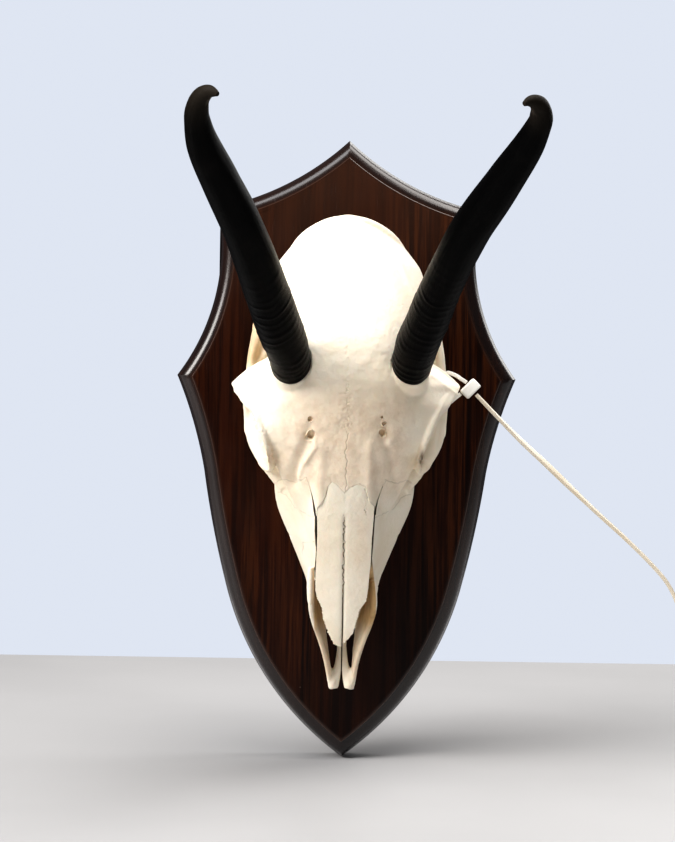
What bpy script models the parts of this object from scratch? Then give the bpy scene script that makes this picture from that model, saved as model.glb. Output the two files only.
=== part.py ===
# A springbok skull with its horns, fixed on a dark wooden shield that hangs on a wall.
# The lower jaw is absent. A nylon cable tie is looped round the viewer's right orbit rim.
# Sizes are in millimetres and are turned into metres as each mesh is made.
# Skull places are (x, z, h): x to the viewer's right, z up the shield, h out from its front face.

import math

import bmesh
import bpy
from mathutils import Matrix, Vector

MM = 0.001
GAP = 0.35                     # clearance that touching pieces keep

# Shield
SHIELD_THICK = 19.0
SHIELD_TOP_Z = 134.9           # the upper point
SHIELD_CORNER = (57.4, 104.8)  # where the top arcs meet the sides
SHIELD_HORN = (74.2, 31.2)     # the side points at half height
SHIELD_WAIST = (61.8, -10.2)
SHIELD_HIP = (52.0, -58.6)
SHIELD_BOTTOM_Z = -135.1
MOULD_WIDTH = 6.0
MOULD_STEP = 1.2               # height of the small step inside the rounded edge
MOULD_DROP = 6.4               # height that the rounded edge falls

# Skull as a whole
SKULL_X = -0.4                 # the skull's midline lies a little left of the shield's
VOXEL = 0.9
SKULL_TRIANGLES = 7600
PAST_SIDE = 60                 # places just beyond the skull, for the solids that part it
PAST_FRONT = -130
PAST_TOP = 110
PAST_BACK = -5                 # inside the shield

# Dorsal midline, front to back, as (z, h)
MIDLINE = ((-103, 30), (-81, 40.5), (-60, 48.4), (-38, 56.8), (-15, 66.0), (5, 73.6),
           (24, 79.0), (40, 78.4), (58, 73.0), (74, 65.0), (86, 57.5), (97, 49.0))

# Half width of the pair of nasal bones, as (z, x)
NASAL_HALF = ((-82, 2.2), (-79, 4.2), (-74, 6.6), (-67, 8.8), (-60, 10.6), (-50, 11.5),
              (-36, 11.5), (-24, 11.9))
NASAL_THICK = 2.6
NASAL_TIP_Z = -81.6

# Suture between forehead and face on the viewer's right, from the midline outwards, as (x, z)
SUTURE = ((0, -17.6), (4.5, -14.6), (6.6, -17.8), (8.6, -21.6), (12.2, -24.0), (12.8, -20.5),
          (13.6, -15.5), (18, -12.6), (60, -12.4))

# Snout and cheek: widest half width and its height, as (z, x) and (z, h)
CHEEK_HALF = ((-66, 14.4), (-56, 15.4), (-49, 18.0), (-36, 23.2), (-23, 28.2), (-12, 29.0), (2, 27.0))
CHEEK_HEIGHT = ((-66, 22), (-49, 24), (-36, 27), (-23, 31), (-12, 36), (2, 38))
GUM_HALF = ((-66, 11.0), (-56, 14.0), (-49, 16.6), (-36, 20.6), (-23, 24.6), (-8, 26.0), (2, 25.0))
GUM_HEIGHT = ((-66, 11.0), (-52, 9.5))
PALATE_HEIGHT = 14.5
SNOUT_LEAN = 0.5               # how far the open front of the snout leans back for each unit of height

# Frontal plate: half width and the fall from midline to edge, as (z, x) and (z, drop)
BROW_HALF = ((-36, 13.0), (-26, 18.0), (-16, 23.5), (-8, 27.0), (-2.2, 30.0), (1.8, 32.4),
             (7.4, 34.9), (13.8, 37.6), (18.0, 41.4), (22.0, 43.8), (26.6, 46.6), (31.0, 42.0),
             (34.0, 38.0), (38.0, 30.0))
BROW_FALL = ((-36, 11.0), (-26, 14.0), (-16, 15.5), (-2, 12.0), (8, 9.5), (18, 15.0), (27, 25.5),
             (33, 24.0), (38, 18.0))

# Braincase: half width, as (z, x), and its underside, as (z, h)
BRAIN_HALF = ((14, 20.0), (24, 27.0), (36, 31.5), (50, 33.4), (62, 33.2), (74.1, 30.4),
              (79.4, 26.9), (85.5, 22.0), (91.2, 15.8), (94.4, 9.5), (96.6, 3.0))
BRAIN_UNDER = ((14, 36), (24, 27), (36, 23), (50, 21), (62, 20), (74, 20), (86, 21), (92, 25), (96.6, 35))

# Orbit: centre of its rim, the rim's half lengths, and where its opening faces
ORBIT_CENTRE = Vector((37.0, 9.0, 50.0))
ORBIT_LONG = 18.6
ORBIT_TALL = 17.2
ORBIT_YAW = math.radians(21)
ORBIT_TILT = math.radians(10)
ORBIT_DEPTH = 24.0
ORBIT_PULL = 4.6               # how far the rim's lower back quarter lies in from a plain ellipse
BROW_CORNER_Z = 26.6           # the plate's outer back corner, which is sharp

# Horns: centre line and lateral width, as (x, z, h, width)
HORN_LEFT = ((-22.2, 33.6, 74, 16.4), (-24.0, 41.4, 88, 17.0), (-26.8, 48.6, 100, 17.6),
             (-32.4, 64.4, 126, 16.5), (-38.1, 79.7, 151, 15.0), (-45.2, 94.1, 173, 13.3),
             (-50.3, 104.3, 188, 11.6), (-52.0, 112.3, 199, 8.9), (-51.5, 115.4, 203, 7.8),
             (-50.4, 117.5, 206, 6.6), (-48.8, 118.7, 208.5, 5.4), (-47.1, 119.1, 210.5, 4.2),
             (-45.4, 118.5, 212, 2.9), (-44.2, 117.8, 213, 1.7))
HORN_RIGHT = ((25.2, 33.6, 74, 15.8), (26.9, 42.0, 88, 16.9), (29.5, 49.2, 100, 16.5),
              (35.6, 65.4, 126, 15.2), (42.9, 80.9, 151, 14.5), (52.8, 95.5, 173, 12.8),
              (59.5, 106.0, 188, 10.6), (62.6, 112.6, 197, 8.5), (62.6, 114.8, 200, 7.8),
              (61.9, 116.6, 203, 6.6), (60.5, 117.5, 206, 5.4), (58.9, 117.8, 208, 4.2),
              (57.2, 117.3, 210, 3.0), (55.8, 116.4, 211, 1.8))
HORN_DEPTH_RATIO = 1.14        # a horn is deeper from front to back than it is wide
HORN_RINGS = 9
HORN_RING_SPACING = 6.2
HORN_RING_HEIGHT = 0.55
HORN_HOOK_LENGTH = 30.0        # the curved tip
HORN_SEAT_LENGTH = 40.0        # the part of a horn that bone may come near
HORN_SIDES = 14

# Outer wall of each premaxilla: its top and bottom edges as ((z, x), ...) and ((z, h), ...)
PREMAXILLA_TIP_Z = -103.2
RAMUS_TOP = (((-103.2, 4.6), (-100, 5.1), (-94, 5.9), (-87, 7.5), (-80, 9.7), (-73, 12.0),
              (-66, 13.1), (-60, 12.9), (-54, 12.2)),
             ((-103.2, 12.6), (-100, 14.0), (-94, 17), (-87, 21.5), (-80, 26), (-73, 32),
              (-66, 38), (-60, 41.2), (-54, 41.6)))
RAMUS_BOTTOM = (((-103.2, 4.2), (-100, 4.6), (-94, 5.5), (-87, 6.6), (-80, 7.5), (-73, 8.4),
                 (-66, 10), (-54, 11)),
                ((-103.2, 10.4), (-94, 10.6), (-80, 11.2), (-66, 11.0), (-54, 10.5)))
RAMUS_THICK = ((-103.2, 2.2), (-94, 2.3), (-80, 2.4), (-66, 2.8), (-54, 3.2))

# Cheek teeth, front to back: length along the row and width
TEETH = ((6.6, 5.0), (7.8, 6.2), (8.2, 7.4), (10.6, 9.0), (12.0, 9.6), (12.2, 9.2))
TOOTH_ROW_START = -50.0
TOOTH_ROW_X = ((-52, 14.2), (-36, 18.4), (-20, 21.6), (-5, 22.8), (9, 22.2))
TOOTH_TIP_HEIGHT = 0.6
TOOTH_ROOT_HEIGHT = 15.0

# Block and screws that hold the skull to the shield
BLOCK_HALF = 13.0
BLOCK_Z = (22.0, 54.0)
BLOCK_TOP = 23.5
SCREW_Z = (30.0, 46.0)
SCREW_HEAD_RADIUS = 4.2
SCREW_HEAD_DEPTH = 2.6
SCREW_SLOT_HALF = 0.5
SCREW_SLOT_DEPTH = 1.5

# Hanger on the back
HANGER_Z = 96.0
HANGER_SIZE = (44.0, 10.0, 1.2)
HANGER_POCKET_DEPTH = 4.0
HANGER_TEETH = 7
HANGER_SHOULDER = 8.0          # plain length at each end, beside the teeth
HANGER_TOOTH_HEIGHT = 1.6

# Cable tie
TIE_WIDTH = 3.6
TIE_THICK = 1.5
TIE_HEAD = (4.8, 7.6, 5.4)     # along the tail, across it, and out from the shield
TIE_HEAD_AT = Vector((50.8, 26.0, 46.0))
TIE_LOOP = ((49.0, 28.6, 46.0), (47.2, 29.7, 46.2), (44.6, 31.4, 45.4), (41.2, 32.4, 44.0),
            (37.8, 30.6, 42.4), (35.8, 26.4, 41.4), (36.2, 21.6, 41.8), (38.8, 19.0, 42.6),
            (42.2, 20.0, 43.8), (44.9, 22.2, 45.0), (46.8, 23.7, 45.6))
TIE_TAIL = ((53.2, 23.6, 46.2), (62.0, 14.6, 46.4), (71.5, 5.2, 47.0), (82.5, -4.8, 47.5),
            (93.5, -15.1, 47.5), (104.5, -25.1, 47.0), (115.5, -34.8, 46.2), (126.5, -45.3, 45.0),
            (133.6, -53.5, 44.0), (138.2, -62.9, 43.0), (141.2, -74.4, 42.0))
TIE_TAIL_TWIST = ((0, 18), (15, 25), (35, 55), (55, 62), (80, 46), (110, 40), (150, 34))


# Materials

def material(name, colour, roughness, metallic=0.0):
    """Return a Principled material of one colour."""
    made = bpy.data.materials.new(name)
    made.use_nodes = True
    shader = made.node_tree.nodes["Principled BSDF"]
    shader.inputs["Base Color"].default_value = (*colour, 1.0)
    shader.inputs["Roughness"].default_value = roughness
    shader.inputs["Metallic"].default_value = metallic
    return made


# Curves and sections

def world(x, z, h):
    """Turn a place on the skull, in millimetres, into the part's own frame in metres."""
    return Vector((x, -(SHIELD_THICK + h), z)) * MM


def smooth_value(points, at):
    """Read a smooth curve through (position, value) points, held flat beyond its ends."""
    if at <= points[0][0]:
        return points[0][1]
    if at >= points[-1][0]:
        return points[-1][1]
    last = len(points) - 1
    i = next(n for n in range(last) if at <= points[n + 1][0])

    def slope(n):
        low = max(n - 1, 0)
        high = min(n + 1, last)
        return (points[high][1] - points[low][1]) / (points[high][0] - points[low][0])

    span = points[i + 1][0] - points[i][0]
    t = (at - points[i][0]) / span
    rise = (2 * t ** 3 - 3 * t ** 2 + 1) * points[i][1] + (3 * t ** 2 - 2 * t ** 3) * points[i + 1][1]
    bend = (t ** 3 - 2 * t ** 2 + t) * slope(i) + (t ** 3 - t ** 2) * slope(i + 1)
    return rise + bend * span


def straight_value(points, at):
    """Read the value at a place on straight lines between (position, value) points."""
    for (low, first), (high, second) in zip(points, points[1:]):
        if at <= high:
            return first + (second - first) * max(at - low, 0) / (high - low)
    return points[-1][1]


def smooth_path(points, count):
    """Spread count points evenly along a smooth curve through the given ones."""
    points = [Vector(p) for p in points]
    reach = [0.0]
    for a, b in zip(points, points[1:]):
        reach.append(reach[-1] + (b - a).length)
    axes = [[(s, p[axis]) for s, p in zip(reach, points)] for axis in range(3)]
    steps = [reach[-1] * n / (count - 1) for n in range(count)]
    return [Vector([smooth_value(axis, s) for axis in axes]) for s in steps]


def arc(start, end, bulge, count):
    """Points on a circular arc from start towards end, whose middle stands bulge off the chord."""
    start = Vector(start)
    end = Vector(end)
    chord = end - start
    middle = (start + end) / 2
    side = Vector((chord.y, -chord.x)).normalized()
    radius = (chord.length ** 2 / 4 + bulge ** 2) / (2 * bulge)
    centre = middle - side * (radius - bulge)
    first = start - centre
    turn = first.angle_signed(end - centre)
    points = []
    for n in range(count):
        spin = -turn * n / count
        points.append(centre + Matrix.Rotation(spin, 2) @ first)
    return points


# Mesh builders

def finish(name, bm):
    """Turn a bmesh whose places are already in metres into an object with outward faces."""
    bmesh.ops.recalc_face_normals(bm, faces=bm.faces)
    mesh = bpy.data.meshes.new(name)
    bm.to_mesh(mesh)
    bm.free()
    obj = bpy.data.objects.new(name, mesh)
    bpy.context.scene.collection.objects.link(obj)
    return obj


def loft(name, rings):
    """Close a tube through rings of equal count, with flat ends."""
    bm = bmesh.new()
    rows = [[bm.verts.new(p) for p in ring] for ring in rings]
    for row, following in zip(rows, rows[1:]):
        count = len(row)
        for n in range(count):
            m = (n + 1) % count
            bm.faces.new((row[n], row[m], following[m], following[n]))
    bm.faces.new(rows[0])
    bm.faces.new(rows[-1])
    bmesh.ops.triangulate(bm, faces=[f for f in bm.faces if len(f.verts) > 4])
    return finish(name, bm)


def ball(name, centre, radii, turn=0.0):
    """An ellipsoid at (x, z, h) with radii along x, z and h, turned about the h axis."""
    bm = bmesh.new()
    bmesh.ops.create_uvsphere(bm, u_segments=24, v_segments=14, radius=1.0)
    spin = Matrix.Rotation(turn, 3, "Z")
    for vert in bm.verts:
        local = spin @ Vector((vert.co.x * radii[0], vert.co.y * radii[1], vert.co.z * radii[2]))
        vert.co = world(centre[0] + local.x, centre[1] + local.y, centre[2] + local.z)
    return finish(name, bm)


def box(name, low, high):
    """A box between two (x, z, h) corners."""
    bm = bmesh.new()
    bmesh.ops.create_cube(bm, size=1.0)
    for vert in bm.verts:
        spot = [low[n] + (high[n] - low[n]) * (vert.co[n] + 0.5) for n in range(3)]
        vert.co = world(*spot)
    return finish(name, bm)


def sweep(name, points, radii, up=(0, 0, 1), sides=14):
    """A bar along (x, z, h) points whose section has (across, up) radii at each point."""
    up = Vector(up)
    rings = []
    last = len(points) - 1
    for n, point in enumerate(points):
        along = (Vector(points[min(n + 1, last)]) - Vector(points[max(n - 1, 0)])).normalized()
        across = along.cross(up).normalized()
        lift = across.cross(along).normalized()
        ring = []
        for k in range(sides):
            angle = 2 * math.pi * k / sides
            spot = Vector(point) + across * (radii[n][0] * math.cos(angle))
            ring.append(world(*(spot + lift * (radii[n][1] * math.sin(angle)))))
        rings.append(ring)
    return loft(name, rings)


def bar(name, points, radii, up=(0, 0, 1), count=16, sides=14):
    """A smooth bar: a sweep whose path and radii are both read from smooth curves."""
    path = smooth_path(points, count)
    keys = [(n / (len(radii) - 1), r) for n, r in enumerate(radii)]
    spread = []
    for n in range(count):
        t = n / (count - 1)
        spread.append(tuple(smooth_value([(k, r[axis]) for k, r in keys], t) for axis in range(2)))
    return sweep(name, path, spread, up, sides)


# Putting meshes together

def baked(obj):
    """Replace an object's mesh by its evaluated one and clear its modifiers."""
    graph = bpy.context.evaluated_depsgraph_get()
    graph.update()
    mesh = bpy.data.meshes.new_from_object(obj.evaluated_get(graph))
    obj.modifiers.clear()
    obj.data = mesh
    return obj


def joined(name, objects):
    """Join objects into one mesh object and remove them."""
    bm = bmesh.new()
    for obj in objects:
        bm.from_mesh(obj.data)
    for obj in objects:
        bpy.data.objects.remove(obj)
    mesh = bpy.data.meshes.new(name)
    bm.to_mesh(mesh)
    bm.free()
    made = bpy.data.objects.new(name, mesh)
    bpy.context.scene.collection.objects.link(made)
    return made


def fused(obj, voxel, rounds):
    """Fuse overlapping closed shells into one skin and smooth it."""
    remesh = obj.modifiers.new("fuse", "REMESH")
    remesh.mode = "VOXEL"
    remesh.voxel_size = voxel * MM
    smooth = obj.modifiers.new("smooth", "SMOOTH")
    smooth.factor = 0.5
    smooth.iterations = rounds
    return baked(obj)


def boolean(obj, operation, cutters):
    """Cut or join an object with others by one exact Boolean, and remove the others."""
    group = bpy.data.collections.new("cutters")
    for cutter in cutters:
        group.objects.link(cutter)
    step = obj.modifiers.new("boolean", "BOOLEAN")
    step.operation = operation
    step.operand_type = "COLLECTION"
    step.collection = group
    step.solver = "EXACT"
    baked(obj)
    for cutter in cutters:
        bpy.data.objects.remove(cutter)
    bpy.data.collections.remove(group)
    return obj


def shells(bm):
    """Group the faces of a bmesh into connected shells."""
    left = set(bm.faces)
    groups = []
    while left:
        stack = [left.pop()]
        group = list(stack)
        while stack:
            face = stack.pop()
            for edge in face.edges:
                for other in edge.link_faces:
                    if other in left:
                        left.discard(other)
                        stack.append(other)
                        group.append(other)
        groups.append(group)
    return groups


def largest_shell(obj):
    """Keep only the object's largest closed surface."""
    bm = bmesh.new()
    bm.from_mesh(obj.data)
    groups = sorted(shells(bm), key=lambda group: sum(f.calc_area() for f in group))
    spare = [face for group in groups[:-1] for face in group]
    bmesh.ops.delete(bm, geom=spare, context="FACES")
    bmesh.ops.triangulate(bm, faces=bm.faces)
    bmesh.ops.recalc_face_normals(bm, faces=bm.faces)
    bm.to_mesh(obj.data)
    bm.free()
    return obj


def copied(obj, name):
    """A copy of an object with its own mesh."""
    made = bpy.data.objects.new(name, obj.data.copy())
    bpy.context.scene.collection.objects.link(made)
    return made


# Shield

def shield_outline():
    """The shield's outline seen from the front, clockwise from the upper point."""
    right = arc((0, SHIELD_TOP_Z), SHIELD_CORNER, 4.4, 7)
    right += arc(SHIELD_CORNER, SHIELD_HORN, 8.0, 9)
    right += arc(SHIELD_HORN, SHIELD_WAIST, 1.2, 4)
    right += arc(SHIELD_WAIST, SHIELD_HIP, -0.7, 3)
    right += arc(SHIELD_HIP, (0, SHIELD_BOTTOM_Z), -8.4, 9)
    left = [Vector((-p.x, p.y)) for p in right[1:]]
    return right + [Vector((0, SHIELD_BOTTOM_Z))] + left[::-1]


def inset(outline, distance):
    """Move each corner of a closed outline inwards, mitred."""
    moved = []
    count = len(outline)
    for n, here in enumerate(outline):
        before = (here - outline[n - 1]).normalized()
        after = (outline[(n + 1) % count] - here).normalized()
        normal_a = Vector((before.y, -before.x))
        normal_b = Vector((after.y, -after.x))
        middle = (normal_a + normal_b).normalized()
        moved.append(here + middle * (distance / max(middle.dot(normal_a), 0.3)))
    return moved


def make_shield():
    """Board with a rounded edge and a small step inside it, pocketed for hanger and screws."""
    outline = shield_outline()
    profile = [(0.0, 0.0), (0.0, SHIELD_THICK - MOULD_STEP - MOULD_DROP)]
    for n in range(5):
        angle = math.radians(90 * n / 4)
        reach = 0.5 + (MOULD_WIDTH - 0.5) * (1 - math.cos(angle))
        rise = SHIELD_THICK - MOULD_STEP - MOULD_DROP * (1 - math.sin(angle))
        profile.append((reach, rise))
    profile.append((MOULD_WIDTH + 0.2, SHIELD_THICK))
    rings = []
    for depth, height in profile:
        rings.append([Vector((p.x, -height, p.y)) * MM for p in inset(outline, depth)])
    board = loft("shield", rings)
    half = HANGER_SIZE[0] / 2 + GAP
    pocket = box("pocket", (-half, HANGER_Z - HANGER_SIZE[1] / 2 - GAP, -SHIELD_THICK - 5),
                 (half, HANGER_Z + HANGER_SIZE[1] / 2 + GAP, HANGER_POCKET_DEPTH - SHIELD_THICK))
    radius = SCREW_HEAD_RADIUS + GAP
    holes = [screw_disc("sink", z, radius, -5, SCREW_HEAD_DEPTH + GAP) for z in SCREW_Z]
    return largest_shell(boolean(board, "DIFFERENCE", [pocket] + holes))


def screw_disc(name, z, radius, back, front):
    """A short cylinder into the back of the shield at height z."""
    rings = []
    for depth in (back, front):
        ring = []
        for n in range(20):
            angle = 2 * math.pi * n / 20
            ring.append(Vector((radius * math.cos(angle), -depth, z + radius * math.sin(angle))) * MM)
        rings.append(ring)
    return loft(name, rings)


def make_screw(name, z):
    """A sunk screw head with a cross recess."""
    head = screw_disc(name, z, SCREW_HEAD_RADIUS, 0.1, SCREW_HEAD_DEPTH)
    long = SCREW_HEAD_RADIUS * 0.6
    short = SCREW_SLOT_HALF
    slots = []
    for wide, tall in ((long, short), (short, long)):
        low = (-wide, z - tall, -SHIELD_THICK - 2)
        slots.append(box("slot", low, (wide, z + tall, SCREW_SLOT_DEPTH - SHIELD_THICK)))
    return largest_shell(boolean(head, "DIFFERENCE", slots))


def make_hanger():
    """A flat steel hanger with a row of teeth under its middle."""
    half = HANGER_SIZE[0] / 2
    low = HANGER_Z - HANGER_SIZE[1] / 2
    high = HANGER_Z + HANGER_SIZE[1] / 2
    inner = half - HANGER_SHOULDER
    first = inner - 2.0
    pitch = 2 * first / HANGER_TEETH
    foot = low + 1.0
    outline = [(-half, low), (-half, high), (half, high), (half, low), (inner, low)]
    for n in range(HANGER_TEETH):
        across = first - n * pitch
        outline.append((across, foot + HANGER_TOOTH_HEIGHT))
        outline.append((across - pitch / 2, foot))
    outline.append((-inner, low))
    rings = []
    for depth in (0.1, 0.1 + HANGER_SIZE[2]):
        rings.append([Vector((x, -depth, z)) * MM for x, z in outline])
    return loft("hanger", rings)


# Skull pieces that are fused into one body

def ring_section(keys, z, steps=3, lean=0.0):
    """A closed smooth section through right-hand (x, h) keys from top to bottom, and its mirror."""
    keys = [Vector((x, h)) for x, h in keys]
    loop = keys + [Vector((-k.x, k.y)) for k in keys[-2:0:-1]]
    count = len(loop)
    ring = []
    for n in range(count):
        a, b, c, d = (loop[(n + k) % count] for k in (-1, 0, 1, 2))
        for step in range(steps):
            t = step / steps
            spot = 0.5 * (2 * b + (c - a) * t + (2 * a - 5 * b + 4 * c - d) * t ** 2
                          + (3 * b - a - 3 * c + d) * t ** 3)
            back = lean * max(spot.y - PALATE_HEIGHT, 0)
            ring.append(world(SKULL_X + spot.x, z + back, spot.y))
    return ring


def stations(first, last, step):
    """Evenly spaced values from first to last."""
    count = max(round(abs(last - first) / step), 1)
    return [first + (last - first) * n / count for n in range(count + 1)]


def snout_body():
    """Nasal roof, cheeks and palate, from the front of the nasal bones to the orbits."""
    rings = []
    for z in stations(-66, 4, 3.5):
        lean = SNOUT_LEAN * min(max((-36 - z) / 30, 0), 1)
        roof_z = z + lean * 30
        top = smooth_value(MIDLINE, roof_z)
        nasal = smooth_value(NASAL_HALF, roof_z)
        wide = smooth_value(CHEEK_HALF, z + lean * 8)
        level = smooth_value(CHEEK_HEIGHT, z)
        gum = smooth_value(GUM_HALF, z)
        foot = smooth_value(GUM_HEIGHT, z)
        shoulder = top - 1.6
        side = (nasal + (wide - nasal) * 0.42, level + (shoulder - level) * 0.52)
        keys = [(0, top), (nasal * 0.55, top - 0.4), (nasal, shoulder), side, (wide, level),
                (gum + 0.6, foot + 8), (gum, foot), (gum - 7.5, foot),
                (max(gum - 10, 2.0), PALATE_HEIGHT), (0, PALATE_HEIGHT + 1)]
        rings.append(ring_section(keys, z, 3, lean))
    return loft("snout", rings)


def brow_body():
    """Forehead with the plates that roof the orbits and run out to the postorbital corners."""
    rings = []
    for z in sorted(stations(-36, 38, 2.7) + [BROW_CORNER_Z]):
        top = smooth_value(MIDLINE, z)
        half = smooth_value(BROW_HALF, z) if z < 18 else straight_value(BROW_HALF, z)
        fall = smooth_value(BROW_FALL, z)
        edge = top - fall
        keys = [(0, top)]
        for part in (0.3, 0.55, 0.75, 0.9, 1.0):
            keys.append((half * part, top - fall * part ** 2.4))
        keys += [(half, edge - 3.2), (half * 0.86, edge - 5.5), (half * 0.6, edge - 12), (16, 40),
                 (14, 30), (0, 29)]
        rings.append(ring_section(keys, z, 2))
    return loft("brow", rings)


def braincase_body():
    """The rounded box behind the horns."""
    rings = []
    for z in stations(14, 96.6, 4.2):
        top = smooth_value(MIDLINE, z) + 0.3
        under = smooth_value(BRAIN_UNDER, z)
        half = smooth_value(BRAIN_HALF, z)
        middle = under + (top - under) * 0.52
        keys = []
        for n in range(9):
            angle = math.radians(90 - 180 * n / 8)
            reach = math.copysign(abs(math.cos(angle)) ** 0.9, math.cos(angle))
            rise = math.sin(angle)
            tall = top - middle if rise > 0 else middle - under
            keys.append((half * reach, middle + tall * rise))
        keys[0] = (0, top)
        keys[-1] = (0, under)
        rings.append(ring_section(keys, z, 2))
    return loft("braincase", rings)


def orbit_axes(side):
    """Unit vectors of an orbit: backwards along the rim, up the rim, and out of the opening."""
    back = Vector((math.sin(ORBIT_YAW), math.cos(ORBIT_YAW), 0))
    out = Vector((math.cos(ORBIT_YAW) * math.cos(ORBIT_TILT), -math.sin(ORBIT_YAW) * math.cos(ORBIT_TILT),
                  math.sin(ORBIT_TILT)))
    rise = out.cross(back).normalized()
    if rise.z < 0:
        rise = -rise
    return [Vector((side * v.x, v.y, v.z)) for v in (back, rise, out)]


def orbit_centre(side):
    """Centre of an orbit's rim."""
    return Vector((side * ORBIT_CENTRE.x + SKULL_X, ORBIT_CENTRE.y, ORBIT_CENTRE.z))


def orbit_hollow(side):
    """The eye socket, as the solid that is cut from the skull."""
    back, rise, out = orbit_axes(side)
    centre = orbit_centre(side) - out * 2.0
    bm = bmesh.new()
    bmesh.ops.create_uvsphere(bm, u_segments=32, v_segments=20, radius=1.0)
    for vert in bm.verts:
        depth = ORBIT_DEPTH if vert.co.z < 0 else 14.0
        spot = (centre + back * (vert.co.x * (ORBIT_LONG - 1.6)) + rise * (vert.co.y * (ORBIT_TALL - 1.6))
                + out * (vert.co.z * depth))
        vert.co = world(*spot)
    return finish("orbit", bm)


def orbit_rim(side):
    """The raised bony ring round an eye socket."""
    back, rise, out = orbit_axes(side)
    centre = orbit_centre(side)
    count = 40
    sides = 10
    bm = bmesh.new()
    rows = []
    for n in range(count):
        turn = 2 * math.pi * n / count
        spoke = back * math.cos(turn) * ORBIT_LONG + rise * math.sin(turn) * ORBIT_TALL
        outward = spoke.normalized()
        slim = 0.5 + 0.5 * min(max(-2 * math.sin(turn), 0), 1)
        spoke.x -= side * ORBIT_PULL * max(math.cos(turn), 0) * max(0.25 - math.sin(turn), 0)
        row = []
        for k in range(sides):
            angle = 2 * math.pi * k / sides
            section = outward * (1.9 * math.cos(angle)) + out * (2.6 * math.sin(angle))
            spot = centre + spoke + section * slim
            row.append(bm.verts.new(world(*spot)))
        rows.append(row)
    for n in range(count):
        here = rows[n]
        following = rows[(n + 1) % count]
        for k in range(sides):
            m = (k + 1) % sides
            bm.faces.new((here[k], here[m], following[m], following[k]))
    return finish("rim", bm)


def side_bars(side):
    """Cheek bone, orbit floor, postorbital bar, zygomatic arch and root of the jaw joint, one side."""
    def on_side(points):
        return [(side * x + SKULL_X, z, h) for x, z, h in points]

    cheek = on_side(((23.5, -16, 36), (29.0, -9.5, 34.5), (34.6, -3.6, 32.5), (38.4, 3, 32),
                     (39.8, 11, 32), (40.4, 19, 32.5), (40.2, 27, 33.5)))
    arch = on_side(((40.2, 24, 33.5), (39.6, 33, 34.5), (38.2, 42, 36.5), (34, 51, 38), (26, 57, 38)))
    post = on_side(((42.0, 25.2, 54), (41.2, 25.0, 49), (40.2, 24.6, 43), (39.6, 24, 37), (39.6, 24, 33)))
    post_radii = ((1.8, 3.2), (2.0, 3.8), (2.2, 4.2), (2.3, 4.2), (2.3, 4.4))
    floor = on_side(((24, -13, 38), (29.5, -6, 37.5), (33, 1, 36.4), (35.2, 9, 36), (36.6, 17, 36),
                     (37.4, 24, 36)))
    floor_radii = ((5.0, 4.0), (5.0, 4.0), (4.6, 3.4), (3.8, 3.0), (3.0, 2.8), (2.4, 2.6))
    cheek_radii = ((4.0, 7.0), (3.0, 6.0), (2.6, 4.6), (2.4, 4.2), (2.3, 4.0), (2.3, 3.8), (2.2, 3.6))
    return [
        bar("cheek", cheek, cheek_radii),
        bar("arch", arch, ((2.2, 3.8), (2.1, 4.0), (2.4, 4.0), (4.5, 3.6), (6.0, 4.0))),
        bar("post", post, post_radii, up=(0, 1, 0)),
        bar("floor", floor, floor_radii),
        ball("joint", (side * 31 + SKULL_X, 50, 34.5), (8.5, 7.5, 4.0)),
    ]


def back_pieces():
    """Nuchal crest, condyles, paroccipital processes, ear bullae and skull base."""
    made = [bar("base", ((SKULL_X, 92, 27), (SKULL_X, 70, 22), (SKULL_X, 46, 24), (SKULL_X, 20, 28)),
                ((9, 6), (10, 5), (9, 5), (8, 5)))]
    crest = [(-26, 76, 42), (-19.4, 86.6, 48.5), (-10, 92.8, 51.2), (0, 94.8, 52.0), (10, 92.8, 51.2),
             (19.4, 86.6, 48.5), (26, 76, 42)]
    made.append(bar("crest", [(x + SKULL_X, z, h) for x, z, h in crest], ((1.5, 1.5),) * 7, count=28))
    for side in (-1, 1):
        made.append(ball("condyle", (side * 8.6 + SKULL_X, 91.0, 26.0), (4.8, 5.2, 7.4), side * 0.5))
        made.append(ball("bulla", (side * 15.0 + SKULL_X, 65.0, 19.0), (6.8, 11.0, 8.5), side * 0.2))
        horn = [(side * x + SKULL_X, z, h) for x, z, h in ((19, 80, 30), (20.5, 79.5, 20), (21, 77.5, 9))]
        made.append(bar("paroccipital", horn, ((4.6, 4.2), (3.4, 3.8), (1.7, 2.2)), up=(0, 1, 0)))
        wing = [(side * x + SKULL_X, z, h) for x, z, h in ((9.5, 2, 17), (9.0, 14, 20), (8.5, 26, 25))]
        made.append(bar("pterygoid", wing, ((1.3, 7.0), (1.3, 7.5), (1.3, 6.0))))
    return made


def ramus_rings(side):
    """Sections of the thin outer wall of one premaxilla, from the maxilla to the tip."""
    rings = []
    for z in stations(-54, PREMAXILLA_TIP_Z, 3.0):
        upper = Vector((smooth_value(RAMUS_TOP[0], z), smooth_value(RAMUS_TOP[1], z)))
        lower = Vector((smooth_value(RAMUS_BOTTOM[0], z), smooth_value(RAMUS_BOTTOM[1], z)))
        half = smooth_value(RAMUS_THICK, z) / 2
        lean = (upper - lower).normalized()
        away = Vector((lean.y, -lean.x)) * half
        edge = [(upper, 0.45), (upper - lean * half, 1.0), (lower + lean * half, 1.0), (lower, 0.45)]
        ring = [end + away * spread for end, spread in edge]
        ring += [end - away * spread for end, spread in edge[::-1]]
        rings.append([world(side * p.x + SKULL_X, z, p.y) for p in ring])
    return rings


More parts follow.
